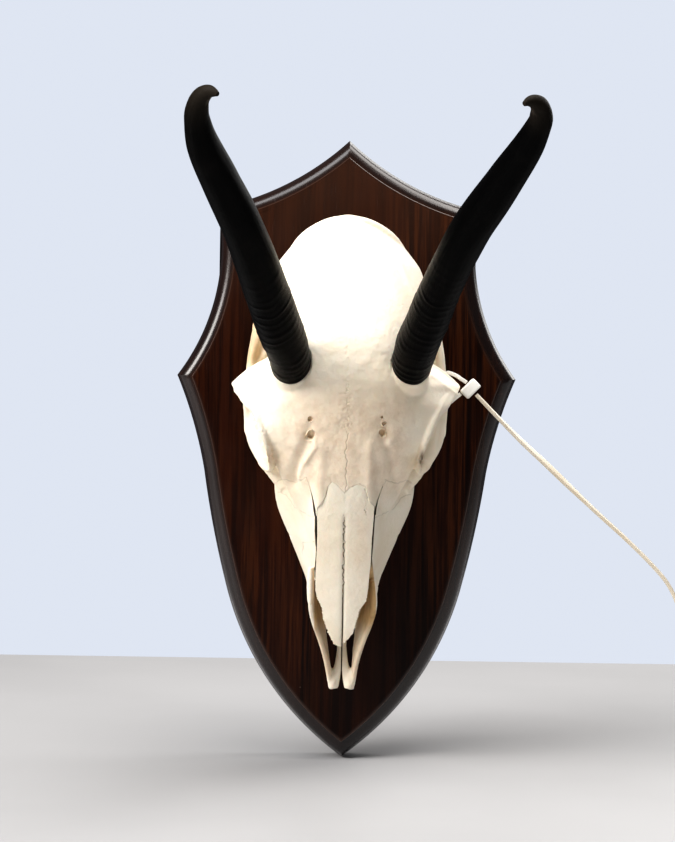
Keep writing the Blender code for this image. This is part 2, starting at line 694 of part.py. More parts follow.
def premaxilla_pieces():
    """Outer and inner rami of both premaxillae, which end in two blunt tips."""
    made = []
    inner = ((1.2, -66, 13.6), (1.0, -80, 12.6), (1.2, -91, 12.4), (2.3, -97, 12.0), (3.4, -102.4, 11.8))
    for side in (-1, 1):
        made.append(loft("ramus", ramus_rings(side)))
        path = [(side * x + SKULL_X, z, h) for x, z, h in inner]
        made.append(bar("inner", path, ((1.2, 1.5), (1.1, 1.4), (1.1, 1.4), (1.8, 1.7), (2.2, 1.7))))
        made.append(ball("tip", (side * 3.8 + SKULL_X, -98.6, 12.4), (2.2, 4.6, 1.9)))
    floor = ((SKULL_X, -56, 13), (SKULL_X, -66, 13), (SKULL_X, -76, 12.6))
    made.append(bar("floor", floor, ((10, 2.4), (8.6, 2.0), (6.6, 1.4))))
    return made


def horn_axis(points):
    """Unit vector along the first length of a horn."""
    return (Vector(points[1][:3]) - Vector(points[0][:3])).normalized()


def pedicle(points):
    """The bony stump that carries a horn."""
    start = Vector(points[0][:3])
    along = horn_axis(points)
    radius = points[0][3] / 2 - 0.5
    path = [start - along * 14, start - along * 7, start]
    radii = [(wide, wide * HORN_DEPTH_RATIO) for wide in (radius + 2.4, radius + 0.8, radius)]
    return sweep("pedicle", path, radii, up=(0, 1, 0), sides=24)


def nasal_cavity():
    """The hollow of the nose, cut from the snout from its front opening inwards."""
    rings = []
    for z, half, low, high in ((-34, 4, 24, 44), (-44, 6, 20, 46), (-56, 8.5, 18, 44),
                               (-67, 10.6, 17, 40), (-74, 11.0, 16.5, 44)):
        middle = (low + high) / 2
        keys = [(0, high), (half * 0.7, high - 1), (half, middle), (half * 0.8, low + 1), (0, low)]
        rings.append(ring_section(keys, z, 3))
    return loft("cavity", rings)


def make_skull():
    """The whole cranium in one piece, before it is parted."""
    core = fused(joined("core", [snout_body(), brow_body(), braincase_body()]), VOXEL, 6)
    magnum = bar("magnum", ((SKULL_X, 108, 33), (SKULL_X, 80, 33)), ((7.6, 6.8), (6.0, 5.6)))
    core = boolean(core, "DIFFERENCE", [orbit_hollow(-1), orbit_hollow(1), nasal_cavity()])
    pieces = [core] + back_pieces() + premaxilla_pieces()
    for side in (-1, 1):
        pieces += [orbit_rim(side)] + side_bars(side)
    pieces += [pedicle(HORN_LEFT), pedicle(HORN_RIGHT)]
    skull = fused(joined("skull", pieces), VOXEL, 5)
    boolean(skull, "DIFFERENCE", [magnum])
    thin = skull.modifiers.new("thin", "DECIMATE")
    thin.ratio = SKULL_TRIANGLES / (2 * len(skull.data.polygons))
    return largest_shell(baked(skull))


def nasal_plate(name, side, margin):
    """One nasal bone as a curved plate, or the slot that holds it when margin is above zero."""
    rings = []
    first = NASAL_TIP_Z + (1.6 if side > 0 else 0.0) - margin
    parts = (0.0, 0.365, 0.545, 0.717, 1.0)
    for share in stations(0, 1, 1 / 17):
        half = smooth_value(NASAL_HALF, first + (SUTURE[0][1] - first) * share) + margin
        upper = []
        lower = []
        for part in parts:
            x = 0.25 - margin + (half - 0.25 + margin) * part
            z = first + (straight_value(SUTURE, x) - 0.2 + 4 * margin - first) * share
            top = smooth_value(MIDLINE, z) + 0.5 - 1.4 * (x / 12) ** 2
            upper.append(world(side * x + SKULL_X, z, top + 8 * margin))
            lower.append(world(side * x + SKULL_X, z, top - margin - NASAL_THICK))
        rings.append(upper + lower[::-1])
    return loft(name, rings)


# Teeth

def tooth_row(side):
    """Closed lobes of the six cheek teeth of one side."""
    made = []
    levels = ((TOOTH_TIP_HEIGHT, 0.92), (TOOTH_TIP_HEIGHT + 1.5, 1.0), (TOOTH_ROOT_HEIGHT, 0.98))
    z = TOOTH_ROW_START
    for index, (long, wide) in enumerate(TEETH):
        lobes = 1 if index < 3 else 2
        for lobe in range(lobes):
            centre = z + long * (lobe + 0.5) / lobes
            x = smooth_value(TOOTH_ROW_X, centre)
            rings = []
            for height, grow in levels:
                ring = []
                for k in range(8):
                    angle = 2 * math.pi * (k + 0.5) / 8
                    reach_z = long / lobes * 0.57 * grow * math.sin(angle)
                    reach_x = wide * 0.5 * grow * math.cos(angle)
                    ring.append(world(side * (x + reach_x) + SKULL_X, centre + reach_z, height))
                rings.append(ring)
            made.append(loft("lobe", rings))
        z += long
    return made


# Parting the skull

def face_region(grow):
    """Solids that hold the face: all before the suture, and the upper jaw under the orbits."""
    left_edge = [(-x + SKULL_X, z + grow) for x, z in SUTURE[:0:-1]]
    right_edge = [(x + SKULL_X, z + grow) for x, z in SUTURE]
    outline = [(-PAST_SIDE, PAST_FRONT)] + left_edge + right_edge + [(PAST_SIDE, PAST_FRONT)]
    front = loft("front", [[world(x, z, h) for x, z in outline] for h in (PAST_BACK, PAST_TOP)])
    return [front, box("jaw", (-PAST_SIDE, -25, PAST_BACK), (PAST_SIDE, 10 + grow, 32.5 + grow))]


def snout_tip_region(grow):
    """Box that holds the premaxillae."""
    return [box("tip", (-PAST_SIDE, PAST_FRONT, PAST_BACK), (PAST_SIDE, -70 + grow, PAST_TOP))]


def cheek_region(side, grow):
    """Boxes that hold a cheek bone with its arch and the lower half of the postorbital bar."""
    boxes = []
    for inner, low, high in ((27.6, -12.5, 14), (35.4, 10, 37)):
        near = side * (inner - grow) + SKULL_X
        far = side * PAST_SIDE
        left = min(near, far)
        right = max(near, far)
        boxes.append(box("cheek", (left, low - grow, PAST_BACK), (right, high + grow, 45.5 + grow)))
    return boxes


def part_skull(whole):
    """Divide the skull into cranium, face, premaxillae and cheek bones by thin cuts."""
    nodes = {}
    for side, word in ((-1, "left"), (1, "right")):
        name = "zygomatic_" + word
        nodes[name] = boolean(copied(whole, name), "INTERSECT", [united(cheek_region(side, 0))])
    face = boolean(copied(whole, "face"), "INTERSECT", [united(face_region(0))])
    boolean(face, "DIFFERENCE", cheek_region(-1, GAP) + cheek_region(1, GAP))
    tips = boolean(copied(face, "tips"), "INTERSECT", snout_tip_region(0))
    boolean(face, "DIFFERENCE", snout_tip_region(GAP))
    right_half = box("half", (SKULL_X - GAP / 2, PAST_FRONT, PAST_BACK), (PAST_SIDE, 0, PAST_TOP))
    nodes["premaxilla_left"] = boolean(copied(tips, "premaxilla_left"), "DIFFERENCE", [right_half])
    left_half = box("half", (-PAST_SIDE, PAST_FRONT, PAST_BACK), (SKULL_X + GAP / 2, 0, PAST_TOP))
    nodes["premaxilla_right"] = boolean(tips, "DIFFERENCE", [left_half])
    slots = [nasal_plate("slot", side, GAP) for side in (-1, 1)]
    boolean(face, "DIFFERENCE", slots)
    boolean(face, "UNION", tooth_row(-1) + tooth_row(1))
    cranium = boolean(copied(whole, "cranium"), "DIFFERENCE", face_region(GAP))
    boolean(cranium, "DIFFERENCE", cheek_region(-1, GAP) + cheek_region(1, GAP) + [make_block(GAP)])
    boolean(cranium, "DIFFERENCE", [horn_seat(HORN_LEFT), horn_seat(HORN_RIGHT)])
    nodes["face"] = face
    nodes["cranium"] = cranium
    bpy.data.objects.remove(whole)
    for name, node in nodes.items():
        node.name = name
        largest_shell(node)
    return nodes


def united(boxes):
    """Join overlapping boxes into one closed solid."""
    first = boxes[0]
    if len(boxes) > 1:
        boolean(first, "UNION", boxes[1:])
    return first


# Horns

def horn_stations(length):
    """Distances along a horn: two to each ring, then wide apart, then close along the hooked tip."""
    ringed = HORN_RINGS * HORN_RING_SPACING
    hook = length - HORN_HOOK_LENGTH
    places = stations(0, ringed, HORN_RING_SPACING / 2)
    return places[:-1] + stations(ringed, hook, 6.0)[:-1] + stations(hook, length, 2.4)


def horn_path(points, places):
    """Centre points and lateral half widths at the given distances along a horn."""
    reach = horn_reach(points)
    path = []
    halves = []
    for place in places:
        spot = [smooth_value([(s, p[axis]) for s, p in zip(reach, points)], place) for axis in range(4)]
        path.append(Vector(spot[:3]))
        halves.append(spot[3] / 2)
    return path, halves


def horn_reach(points):
    """Distance of each of a horn's given points from its base."""
    reach = [0.0]
    for a, b in zip(points, points[1:]):
        reach.append(reach[-1] + (Vector(b[:3]) - Vector(a[:3])).length)
    return reach


def make_horn(name, points):
    """A ringed, tapering sheath that hooks in at its tip."""
    places = horn_stations(horn_reach(points)[-1])
    path, halves = horn_path(points, places)
    radii = []
    for place, half in zip(places, halves):
        ring = place / HORN_RING_SPACING
        if ring < HORN_RINGS:
            fade = 1 - ring / HORN_RINGS
            half += HORN_RING_HEIGHT * fade * (0.5 - 0.5 * math.cos(2 * math.pi * ring))
        radii.append((half, half * HORN_DEPTH_RATIO))
    path[0] = Vector(points[0][:3]) + horn_axis(points) * (GAP + 0.1)
    return sweep(name, path, radii, up=(0, 1, 0), sides=HORN_SIDES)


def horn_seat(points):
    """The room that a horn's base and its clearance take out of the bone."""
    path, halves = horn_path(points, stations(0, HORN_SEAT_LENGTH, 3.0))
    spare = HORN_RING_HEIGHT + GAP
    radii = [(half + spare, half * HORN_DEPTH_RATIO + spare) for half in halves]
    return sweep("seat", path, radii, up=(0, 1, 0), sides=HORN_SIDES)


# Cable tie

def strap(name, points, widths, twists):
    """A flat strap whose width stands out from the shield, turned by a twist in degrees at each point."""
    rings = []
    last = len(points) - 1
    for n, point in enumerate(points):
        along = (points[min(n + 1, last)] - points[max(n - 1, 0)]).normalized()
        level = along.cross(Vector((0, 0, 1))).normalized()
        rise = level.cross(along).normalized()
        twist = math.radians(twists[n])
        wide = (rise * math.cos(twist) + level * math.sin(twist)) * (widths[n] / 2)
        deep = wide.cross(along).normalized() * (TIE_THICK / 2)
        corners = (-wide - deep, wide - deep, wide + deep, deep - wide)
        rings.append([world(*(point + corner)) for corner in corners])
    return loft(name, rings)


def make_tie_loop():
    """The band round the postorbital bar, which starts and ends at the head."""
    count = 30
    return strap("tie_loop", smooth_path(TIE_LOOP, count), [TIE_WIDTH] * count, [0] * count)


def make_tie_head():
    """The ratchet block of the tie."""
    bm = bmesh.new()
    bmesh.ops.create_cube(bm, size=1.0)
    spin = Matrix.Rotation(math.radians(-45), 3, "Z")
    for vert in bm.verts:
        local = spin @ Vector([vert.co[n] * TIE_HEAD[n] for n in (0, 1, 2)])
        vert.co = world(*(TIE_HEAD_AT + local))
    bmesh.ops.bevel(bm, geom=bm.edges[:], offset=0.7 * MM, segments=2, affect="EDGES")
    return finish("tie_head", bm)


def make_tie_tail():
    """The free end of the strap, stiff enough to stand out by itself."""
    count = 46
    path = smooth_path(TIE_TAIL, count)
    reach = 0.0
    twists = [smooth_value(TIE_TAIL_TWIST, 0)]
    for a, b in zip(path, path[1:]):
        reach += (b - a).length
        twists.append(smooth_value(TIE_TAIL_TWIST, reach))
    widths = [TIE_WIDTH] * (count - 4) + [3.2, 2.8, 2.4, 2.0]
    return strap("tie_tail", path, widths, twists)


def make_block(margin):
    """The wooden block between shield and skull base."""
    low = GAP if margin == 0 else -5
    return box("mount_block", (-BLOCK_HALF - margin, BLOCK_Z[0] - margin, low),
               (BLOCK_HALF + margin, BLOCK_Z[1] + margin, BLOCK_TOP + margin))


def paint(obj, made, smooth_angle=None):
    """Give an object its material and, where asked, smooth shading with sharp creases."""
    obj.data.materials.clear()
    obj.data.materials.append(made)
    if smooth_angle is not None:
        obj.data.shade_smooth()
        obj.data.set_sharp_from_angle(angle=math.radians(smooth_angle))


def main():
    """Build every piece of the mounted skull."""
    for obj in list(bpy.data.objects):
        bpy.data.objects.remove(obj)
    bone = material("bone", (0.83, 0.76, 0.65), 0.6)
    horn = material("horn", (0.012, 0.011, 0.010), 0.42)
    wood = material("shield_wood", (0.055, 0.018, 0.009), 0.32)
    steel = material("steel", (0.55, 0.54, 0.52), 0.35, 1.0)
    nylon = material("nylon", (0.86, 0.84, 0.76), 0.4)

    nodes = part_skull(make_skull())
    for side, word in ((-1, "left"), (1, "right")):
        nodes["nasal_" + word] = nasal_plate("nasal_" + word, side, 0)
    for node in nodes.values():
        paint(node, bone, 50)
    for name, points in (("horn_left", HORN_LEFT), ("horn_right", HORN_RIGHT)):
        paint(make_horn(name, points), horn, 60)
    paint(make_shield(), wood, 30)
    paint(make_block(0), wood)
    for index, z in enumerate(SCREW_Z):
        paint(make_screw("screw_%d" % (index + 1), z), steel, 40)
    paint(make_hanger(), steel)
    for piece in (make_tie_loop(), make_tie_head(), make_tie_tail()):
        paint(piece, nylon, 40)


main()
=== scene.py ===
# The looks of the springbok skull on its shield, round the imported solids.
# Sizes are in millimetres and are turned into metres as each mesh is made.
# Skull places are (x, z, h): x to the viewer's right, z up the shield, h out from its front face.

import math
import random

import bmesh
import bpy
import numpy as np
from mathutils import Matrix, Vector, noise

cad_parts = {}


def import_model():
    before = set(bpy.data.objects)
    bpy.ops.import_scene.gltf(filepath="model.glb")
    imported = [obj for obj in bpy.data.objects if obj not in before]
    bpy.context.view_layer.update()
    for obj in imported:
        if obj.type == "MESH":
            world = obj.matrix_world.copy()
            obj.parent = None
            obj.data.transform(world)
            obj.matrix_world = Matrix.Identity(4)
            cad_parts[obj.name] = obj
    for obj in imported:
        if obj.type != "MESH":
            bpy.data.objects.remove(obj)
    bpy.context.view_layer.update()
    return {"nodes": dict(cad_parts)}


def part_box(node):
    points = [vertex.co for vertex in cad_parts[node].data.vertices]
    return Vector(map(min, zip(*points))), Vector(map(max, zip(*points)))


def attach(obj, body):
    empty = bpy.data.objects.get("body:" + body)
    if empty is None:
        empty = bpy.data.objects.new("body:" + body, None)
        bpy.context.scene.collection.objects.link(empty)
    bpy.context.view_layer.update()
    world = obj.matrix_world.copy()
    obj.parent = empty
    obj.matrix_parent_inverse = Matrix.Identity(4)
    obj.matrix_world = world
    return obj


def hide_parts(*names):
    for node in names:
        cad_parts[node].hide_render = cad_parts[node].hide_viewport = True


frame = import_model()

MM = 0.001
SHIELD_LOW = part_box("shield")[0]
SHIELD_THICK = -SHIELD_LOW[1] / MM

# Shield
SHIELD_TOP_Z = 134.9
SHIELD_CORNER = (57.4, 104.8)
SHIELD_HORN = (74.2, 31.2)
SHIELD_WAIST = (61.8, -10.2)
SHIELD_HIP = (52.0, -58.6)
SHIELD_BOTTOM_Z = -135.1
SHIELD_BULGE = (4.4, 8.0, 1.2, -0.7, -8.4)    # how far each stretch of the outline curves in from its chord
SHIELD_STEPS = (7, 9, 4, 3, 9)
MOULD_WIDTH = 6.0
MOULD_STEP = 1.2
MOULD_DROP = 6.4
HANGER_Z = 96.0
HANGER_SIZE = (44.0, 10.0)
HANGER_POCKET_DEPTH = 4.0
SCREW_Z = (30.0, 46.0)
SCREW_HEAD_RADIUS = 4.2
SCREW_HEAD_DEPTH = 2.6
FIXING_PLAY = 0.35             # room round the hanger and the screw heads
BLOCK_HALF = 13.0
BLOCK_Z = (22.0, 54.0)
BLOCK_TOP = 23.5
BLOCK_PLAY = 0.2

# Skull: where it isn't said otherwise, a list holds (z, size) points read along it
SKULL_X = -0.4
VOXEL = 0.5
CORE_VOXEL = VOXEL * 1.3
CORE_SMOOTHING = 1.0
BONE_SMOOTHING = 0.8
SNOUT_SPAN = (-66, 4)
MIDLINE = ((-103, 30), (-81, 40.5), (-60, 48.4), (-38, 56.8), (-15, 66.0), (5, 73.6),
           (24, 79.0), (40, 78.4), (58, 73.0), (74, 65.0), (86, 57.5), (97, 49.0))
NASAL_HALF = ((-82, 2.2), (-79, 4.2), (-74, 6.6), (-67, 8.8), (-60, 10.6), (-50, 11.5),
              (-36, 11.5), (-24, 11.9))
CHEEK_HALF = ((-66, 14.4), (-56, 15.4), (-49, 18.0), (-36, 23.2), (-23, 28.2), (-12, 29.0), (2, 27.0))
CHEEK_HEIGHT = ((-66, 22), (-49, 24), (-36, 27), (-23, 31), (-12, 36), (2, 38))
GUM_HALF = ((-66, 11.0), (-56, 14.0), (-49, 16.6), (-36, 20.6), (-23, 24.6), (-8, 26.0), (2, 25.0))
GUM_HEIGHT = ((-66, 11.0), (-52, 9.5))
PALATE_HEIGHT = 14.5
SNOUT_LEAN = 0.5
BROW_HALF = ((-36, 13.0), (-26, 18.0), (-16, 23.5), (-8, 27.0), (-2.2, 30.0), (1.8, 32.4), (7.4, 34.9),
             (13.8, 37.6), (18.0, 41.4), (22.0, 43.8), (26.6, 46.6), (31.0, 42.0), (34.0, 38.0), (38.0, 30.0))
BROW_FALL = ((-36, 11.0), (-26, 14.0), (-16, 15.5), (-2, 12.0), (8, 9.5), (18, 15.0), (27, 25.5),
             (33, 24.0), (38, 18.0))
BRAIN_HALF = ((14, 20.0), (24, 27.0), (36, 31.5), (50, 33.4), (62, 33.2), (74.1, 30.4),
              (79.4, 26.9), (85.5, 22.0), (91.2, 15.8), (94.4, 9.5), (96.6, 3.0))
BRAIN_UNDER = ((14, 36), (24, 27), (36, 23), (50, 21), (62, 20), (74, 20), (86, 21), (92, 25), (96.6, 35))
ORBIT_CENTRE = Vector((37.0, 9.0, 50.0))
ORBIT_LONG = 18.6
ORBIT_TALL = 17.2
ORBIT_YAW = math.radians(21)
ORBIT_TILT = math.radians(10)
ORBIT_DEPTH = 24.0
ORBIT_MOUTH = 14.0
ORBIT_PULL = 4.6               # how far the rim's lower back quarter lies in from a plain ellipse
RIM_WIDE = 1.9
RIM_HIGH = 2.6
RIM_OVERLAP = 1.6              # how far the socket stays within the rim's middle line
BROW_CORNER_Z = 26.6           # the plate's outer back corner, which is sharp
# Outer walls of the premaxillae: x and h of the upper and the lower edge, each against z
RAMUS_TOP = (((-103.2, 4.6), (-100, 5.1), (-94, 5.9), (-87, 7.5), (-80, 9.7), (-73, 12.0),
              (-66, 13.1), (-60, 12.9), (-54, 12.2)),
             ((-103.2, 12.6), (-100, 14.0), (-94, 17), (-87, 21.5), (-80, 26), (-73, 32),
              (-66, 39), (-60, 42.4), (-54, 42.4)))
RAMUS_BOTTOM = (((-103.2, 4.2), (-100, 4.6), (-94, 5.5), (-87, 6.6), (-80, 7.5), (-73, 8.4),
                 (-66, 10), (-54, 11)),
                ((-103.2, 10.4), (-94, 10.6), (-80, 11.2), (-66, 11.0), (-54, 10.5)))
RAMUS_THICK = ((-103.2, 2.2), (-94, 2.3), (-80, 2.4), (-66, 2.8), (-54, 3.2))
RAMUS_LEAN = ((-96, 0), (-86, 1.3), (-76, 1.6), (-64, 0))      # how far the viewer-right wall leans inwards

# Nasal bones: outer edge and the bone's edge across the fissure, as (z, x), and the back edge, as (x, z)
NASAL_THICK = 2.0
NASAL_EDGE = {
    -1: ((-81.4, 1.6), (-80.4, 3.4), (-75.2, 6.0), (-69.9, 7.9), (-64.7, 8.7), (-61.5, 10.3), (-57.5, 11.3),
         (-51.0, 11.3), (-44.7, 11.1), (-38.9, 10.85), (-33.0, 10.75), (-22.9, 10.9)),
    1: ((-79.9, 1.0), (-75.7, 4.4), (-72.4, 5.3), (-65.8, 6.9), (-61.8, 9.7), (-57.2, 10.2), (-47.5, 11.0),
        (-38.6, 11.3), (-32.9, 11.5), (-27.9, 11.8), (-22.6, 12.0)),
}
FISSURE_EDGE = {
    -1: ((-61, 11.6), (-57.5, 11.45), (-52, 11.6), (-48, 11.6), (-44.7, 11.3), (-40, 11.1), (-38, 11.4),
         (-33, 11.7), (-27.5, 11.7), (-26.4, 11.1), (-23, 11.1)),
    1: ((-62, 13.7), (-57.3, 13.2), (-52, 12.5), (-47.6, 11.9), (-44, 11.5), (-36.3, 12.0), (-30, 12.2),
        (-26.3, 12.4), (-24, 12.2)),
}
FISSURE_SPAN = (-61, -24.5)
FISSURE_DEPTH = {
    -1: ((-61, 2.2), (-57, 3.0), (-51, 7.5)),
    1: ((-61, 2.0), (-50, 2.4), (-46, 4.0), (-42, 7.5)),
}
NASAL_BACK = {
    -1: ((0, -17.2), (1.4, -15.8), (3.2, -13.6), (5.1, -12.6), (6.7, -14.6), (7.0, -17.5), (8.6, -20.8),
         (10.9, -23.1)),
    1: ((0, -17.2), (2.5, -14.5), (6.1, -13.2), (8.4, -14.4), (8.5, -17.7), (9.9, -20.1), (12.2, -22.6)),
}
NASAL_ROWS = 260
NASAL_COLUMNS = 24
NASAL_RAGGED = 0.28            # how far the outer edge strays near the tip
NASAL_UNEVEN = 0.05            # and elsewhere
NASAL_SEAT_PLAY = 0.07
NASAL_SEAT_RISE = 9.0          # how far the seat's cutter stands over the bone

# Joint between the nasal bones, as (z, size): its zigzag, its pits and half its gap
JOINT_WAVE = ((-62, 0.05), (-56, 0.3), (-48, 0.75), (-26, 0.6), (-18, 0.4))
JOINT_PITS = ((-60, 0), (-52, 0.2), (-30, 0.2), (-24, 0))
JOINT_GAP = ((-82, 0.12), (-60, 0.07), (-54, -0.04), (-20, -0.03))

# Fissures between nose and tear bone, as (x, z, width), and the gap between the premaxillae, as (z, half)
SPUR_FISSURE = {
    -1: ((-14.3, -14.0, 0.12), (-13.3, -17.5, 0.3), (-12.6, -20.6, 0.6), (-12.0, -24.4, 0.9),
         (-11.4, -28.2, 0.5)),
    1: ((15.3, -14.5, 0.15), (13.7, -19.0, 0.35), (12.7, -23.0, 0.7), (12.4, -26.0, 0.8)),
}
TIP_GAP = ((-62, 0.15), (-66, 0.24), (-95, 0.28), (-99, 0.7), (-104.5, 1.5))

# Hollow of the nose, from its inner end outwards, as (z, half width, floor, roof)
CAVITY = ((-34, 4, 24, 44), (-44, 6, 20, 46), (-56, 8.5, 18, 44), (-67, 10.6, 17, 40), (-74, 11.0, 16.5, 44))

# Holes in the bone: mouth (x, z, h), then where it leads, and radii across and along
FOREHEAD_HOLES = (
    ((-14.1, 5.6, 75.0), (-13.6, 6.9, 71.7), 1.7, 2.2),
    ((-14.3, 12.1, 76.5), (-14.0, 12.7, 74.0), 1.1, 1.3),
    ((14.9, 6.9, 75.0), (14.5, 7.9, 71.9), 1.4, 1.55),
    ((15.3, 10.8, 76.0), (15.1, 11.3, 73.5), 0.9, 0.9),
    ((14.4, 13.4, 77.0), (14.3, 13.8, 74.4), 0.6, 0.7),
)
TEAR_SLIT = ((31.2, -2.0, 62.0), (30.8, -3.2, 42.0), 0.9, 3.2)
PAIRED_HOLES = (
    ((27.0, -39.0, 26.0), (12.0, -30.0, 27.0), 1.9, 2.5),
    ((38.0, 57.5, 30.5), (22.0, 57.0, 31.5), 2.6, 3.0),
    ((30.0, 14.0, 48.0), (8.0, 20.0, 42.0), 2.2, 2.4),
)

# Seams between bones: seen from the front, as (x, z), and on the cheeks, as (z, h)
MID_SUTURE = ((0.2, -17), (0.9, -13.7), (0.3, -9), (0.9, -5), (0.1, -0.8), (1.0, 7.2), (0.7, 14), (0.4, 24),
              (0.2, 36), (0.1, 48), (0.0, 60.5))
CORONAL_SUTURE = ((-33, 50), (-27, 56.5), (-17, 59.5), (-8, 58.6), (0, 60.5), (8, 58.8), (17, 59.8),
                  (27, 56.4), (33, 50))
LAMBDOID_SUTURE = ((-24, 80), (-14, 85), (-6, 84.4), (0, 86.4), (6, 84.4), (14, 85), (24, 80))
FACE_LINES = (
    ((-12.1, -37.3), (-16.8, -38.7), (-17.1, -44.6)),
    ((-14.3, -14.0), (-15.4, -11.0), (-20.0, -13.5), (-24.5, -12.2), (-28.0, -13.5)),
    ((15.3, -14.5), (16.6, -11.4), (21.0, -13.2), (25.0, -12.0), (28.0, -13.2)),
    ((-12.4, -27.0), (-15.0, -26.4), (-20.5, -24.0), (-24.0, -19.0), (-27.5, -18.0)),
    ((12.6, -27.0), (15.4, -26.0), (20.8, -23.6), (24.2, -19.0), (27.6, -18.2)),
)
CHEEK_LINES = (
    ((-17, 39), (-13, 33), (-8, 30.5), (-4, 25.0)),
    ((27, 38), (31, 35.0), (36, 34.0), (40, 31.5)),
    ((-62, 34), (-58, 26), (-57, 18), (-60, 11)),
)

# Raised and sunk forms of forehead and cheeks: (x, z) lines and spots, with half width and height
GROOVE_LEFT = ((-14.5, 5.0), (-15.9, 1.5), (-18.4, -3.5), (-20.1, -8.5), (-20.8, -13.5))
GROOVE_RIGHT = ((15.0, 5.5), (17.6, 0.5), (19.4, -5), (20.6, -11))
LIP_LEFT = ((-12.4, 4.6), (-11.9, 1.4), (-14.6, -2.4), (-17.6, -7.0), (-18.8, -11.5))
LINE_FORMS = ((GROOVE_LEFT, 2.2, -1.5), (LIP_LEFT, 1.1, 0.75), (GROOVE_RIGHT, 2.0, -0.75))
SPOT_FORMS = ((17.6, 3.0, 1.6, 0.7), (-14.3, 9.4, 1.6, -0.5), (15.0, 9.4, 1.6, -0.4))
PITTED_LEFT = ((-36.5, 12), (-33.5, 5), (-30.5, -1.5), (-29, -7))
PITTED_RIGHT = ((34.0, 5), (31.5, 0), (29.5, -6))
TEMPORAL_LINE = ((45.5, 25), (38, 33.5), (33.5, 40), (30.5, 50), (27.5, 62), (21, 76), (12, 88))
CREST_START = (33.6, 30.5)
CREST_ALONG = (0.837, -0.548)  # the way the crest before the postorbital corner runs
CREST_HEIGHT = 0.9

# Horns, as (x, z, h, width) from base to tip
HORN_LEFT = ((-22.2, 33.6, 74, 16.4), (-24.0, 41.4, 88, 17.0), (-26.8, 48.6, 100, 17.6),
             (-32.4, 64.4, 126, 16.5), (-38.1, 79.7, 151, 15.0), (-45.2, 94.1, 173, 13.3),
             (-50.3, 104.3, 188, 11.6), (-52.0, 112.3, 199, 8.9), (-51.5, 115.4, 203, 7.8),
             (-50.4, 117.5, 206, 6.6), (-48.8, 118.7, 208.5, 5.4), (-47.1, 119.1, 210.5, 4.2),
             (-45.4, 118.5, 212, 2.9), (-44.2, 117.8, 213, 1.7))
HORN_RIGHT = ((25.2, 33.6, 74, 15.8), (26.9, 42.0, 88, 16.9), (29.5, 49.2, 100, 16.5),
              (35.6, 65.4, 126, 15.2), (42.9, 80.9, 151, 14.5), (52.8, 95.5, 173, 12.8),
              (59.5, 106.0, 188, 10.6), (62.6, 112.6, 197, 8.5), (62.6, 114.8, 200, 7.8),
              (61.9, 116.6, 203, 6.6), (60.5, 117.5, 206, 5.4), (58.9, 117.8, 208, 4.2),
              (57.2, 117.3, 210, 3.0), (55.8, 116.4, 211, 1.8))
HORN_DEPTH_RATIO = 1.14
HORN_SEAT_LENGTH = 40.0
HORN_SEAT_PLAY = 0.35
HORN_LIFT = 0.45               # gap between the bone's stump and the sheath's inner end
HORN_RINGED = 78.0             # length of a horn that carries rings
HORN_SIDES = 96
HORN_STEP = 0.4
RING_FIRST = 1.6               # place of the lowest ring
RING_GAP = (2.6, 4.8)
RING_STRENGTH = (0.3, 1.0)
RING_WIDTH = (0.5, 1.1)
RING_HEIGHT = 0.34

# Cheek teeth, front to back, as (length, width), and a tooth from tip to root, as (height, size)
TEETH = ((6.6, 5.0), (7.8, 6.2), (8.2, 7.4), (10.6, 9.0), (12.0, 9.6), (12.2, 9.2))
TOOTH_ROW_START = -50.0
TOOTH_ROW_X = ((-52, 14.2), (-36, 18.4), (-20, 21.6), (-5, 22.8), (9, 22.2))
TOOTH_PROFILE = ((0.6, 0.80), (1.1, 0.93), (2.2, 1.0), (5.6, 0.99), (10.0, 0.90), (13.5, 0.86))
TOOTH_VOXEL = 0.35
TOOTH_SMOOTHING = 0.18
SINGLE_TEETH = 3               # the front teeth have one lobe each, the others two

# Cable tie, with its routes as (x, z, h) and its tail's twist as (distance, degrees)
TIE_WIDTH = 3.6
TIE_THICK = 1.5
TIE_HEAD = (4.8, 7.6, 5.4)
TIE_HEAD_AT = Vector((50.8, 26.0, 46.0))
TIE_LOOP = ((49.0, 28.6, 46.0), (47.2, 29.7, 46.2), (44.6, 31.4, 45.4), (41.2, 32.4, 44.0),
            (37.8, 30.6, 42.4), (35.8, 26.4, 41.4), (36.2, 21.6, 41.8), (38.8, 19.0, 42.6),
            (42.2, 20.0, 43.8), (44.9, 22.2, 45.0), (46.8, 23.7, 45.6))
TIE_TAIL = ((53.2, 23.6, 46.2), (62.0, 14.6, 46.4), (71.5, 5.2, 47.0), (82.5, -4.8, 47.5),
            (93.5, -15.1, 47.5), (104.5, -25.1, 47.0), (115.5, -34.8, 46.2), (126.5, -45.3, 45.0),
            (133.6, -53.5, 44.0), (138.2, -62.9, 43.0), (141.2, -74.4, 42.0))
TIE_TAIL_TWIST = ((0, 8), (15, 12), (30, 24), (48, 28), (66, 14), (110, 10), (150, 16))
TIE_TAIL_ROWS = 160
TIE_TAIL_TAPERED = 12
TIE_LOOP_ROWS = 90

# Stage: the floor's half width and its near and far edge in metres, and the camera's place, roll and lens
FLOOR_HALF = 3.0
FLOOR_NEAR = -2.6
FLOOR_FAR = 0.34
FLOOR_GAP = 0.0004
CAMERA_PLACE = (-0.00365, -0.869, 0.0119)
CAMERA_ROLL = math.radians(0.838)
CAMERA_LENS = 83.59
CAMERA_SENSOR = 36.0
WALL_COLOUR = (0.63, 0.67, 0.75, 1.0)
FILL_COLOUR = (0.88, 0.90, 1.0, 1.0)
FILL_STRENGTH = 0.06

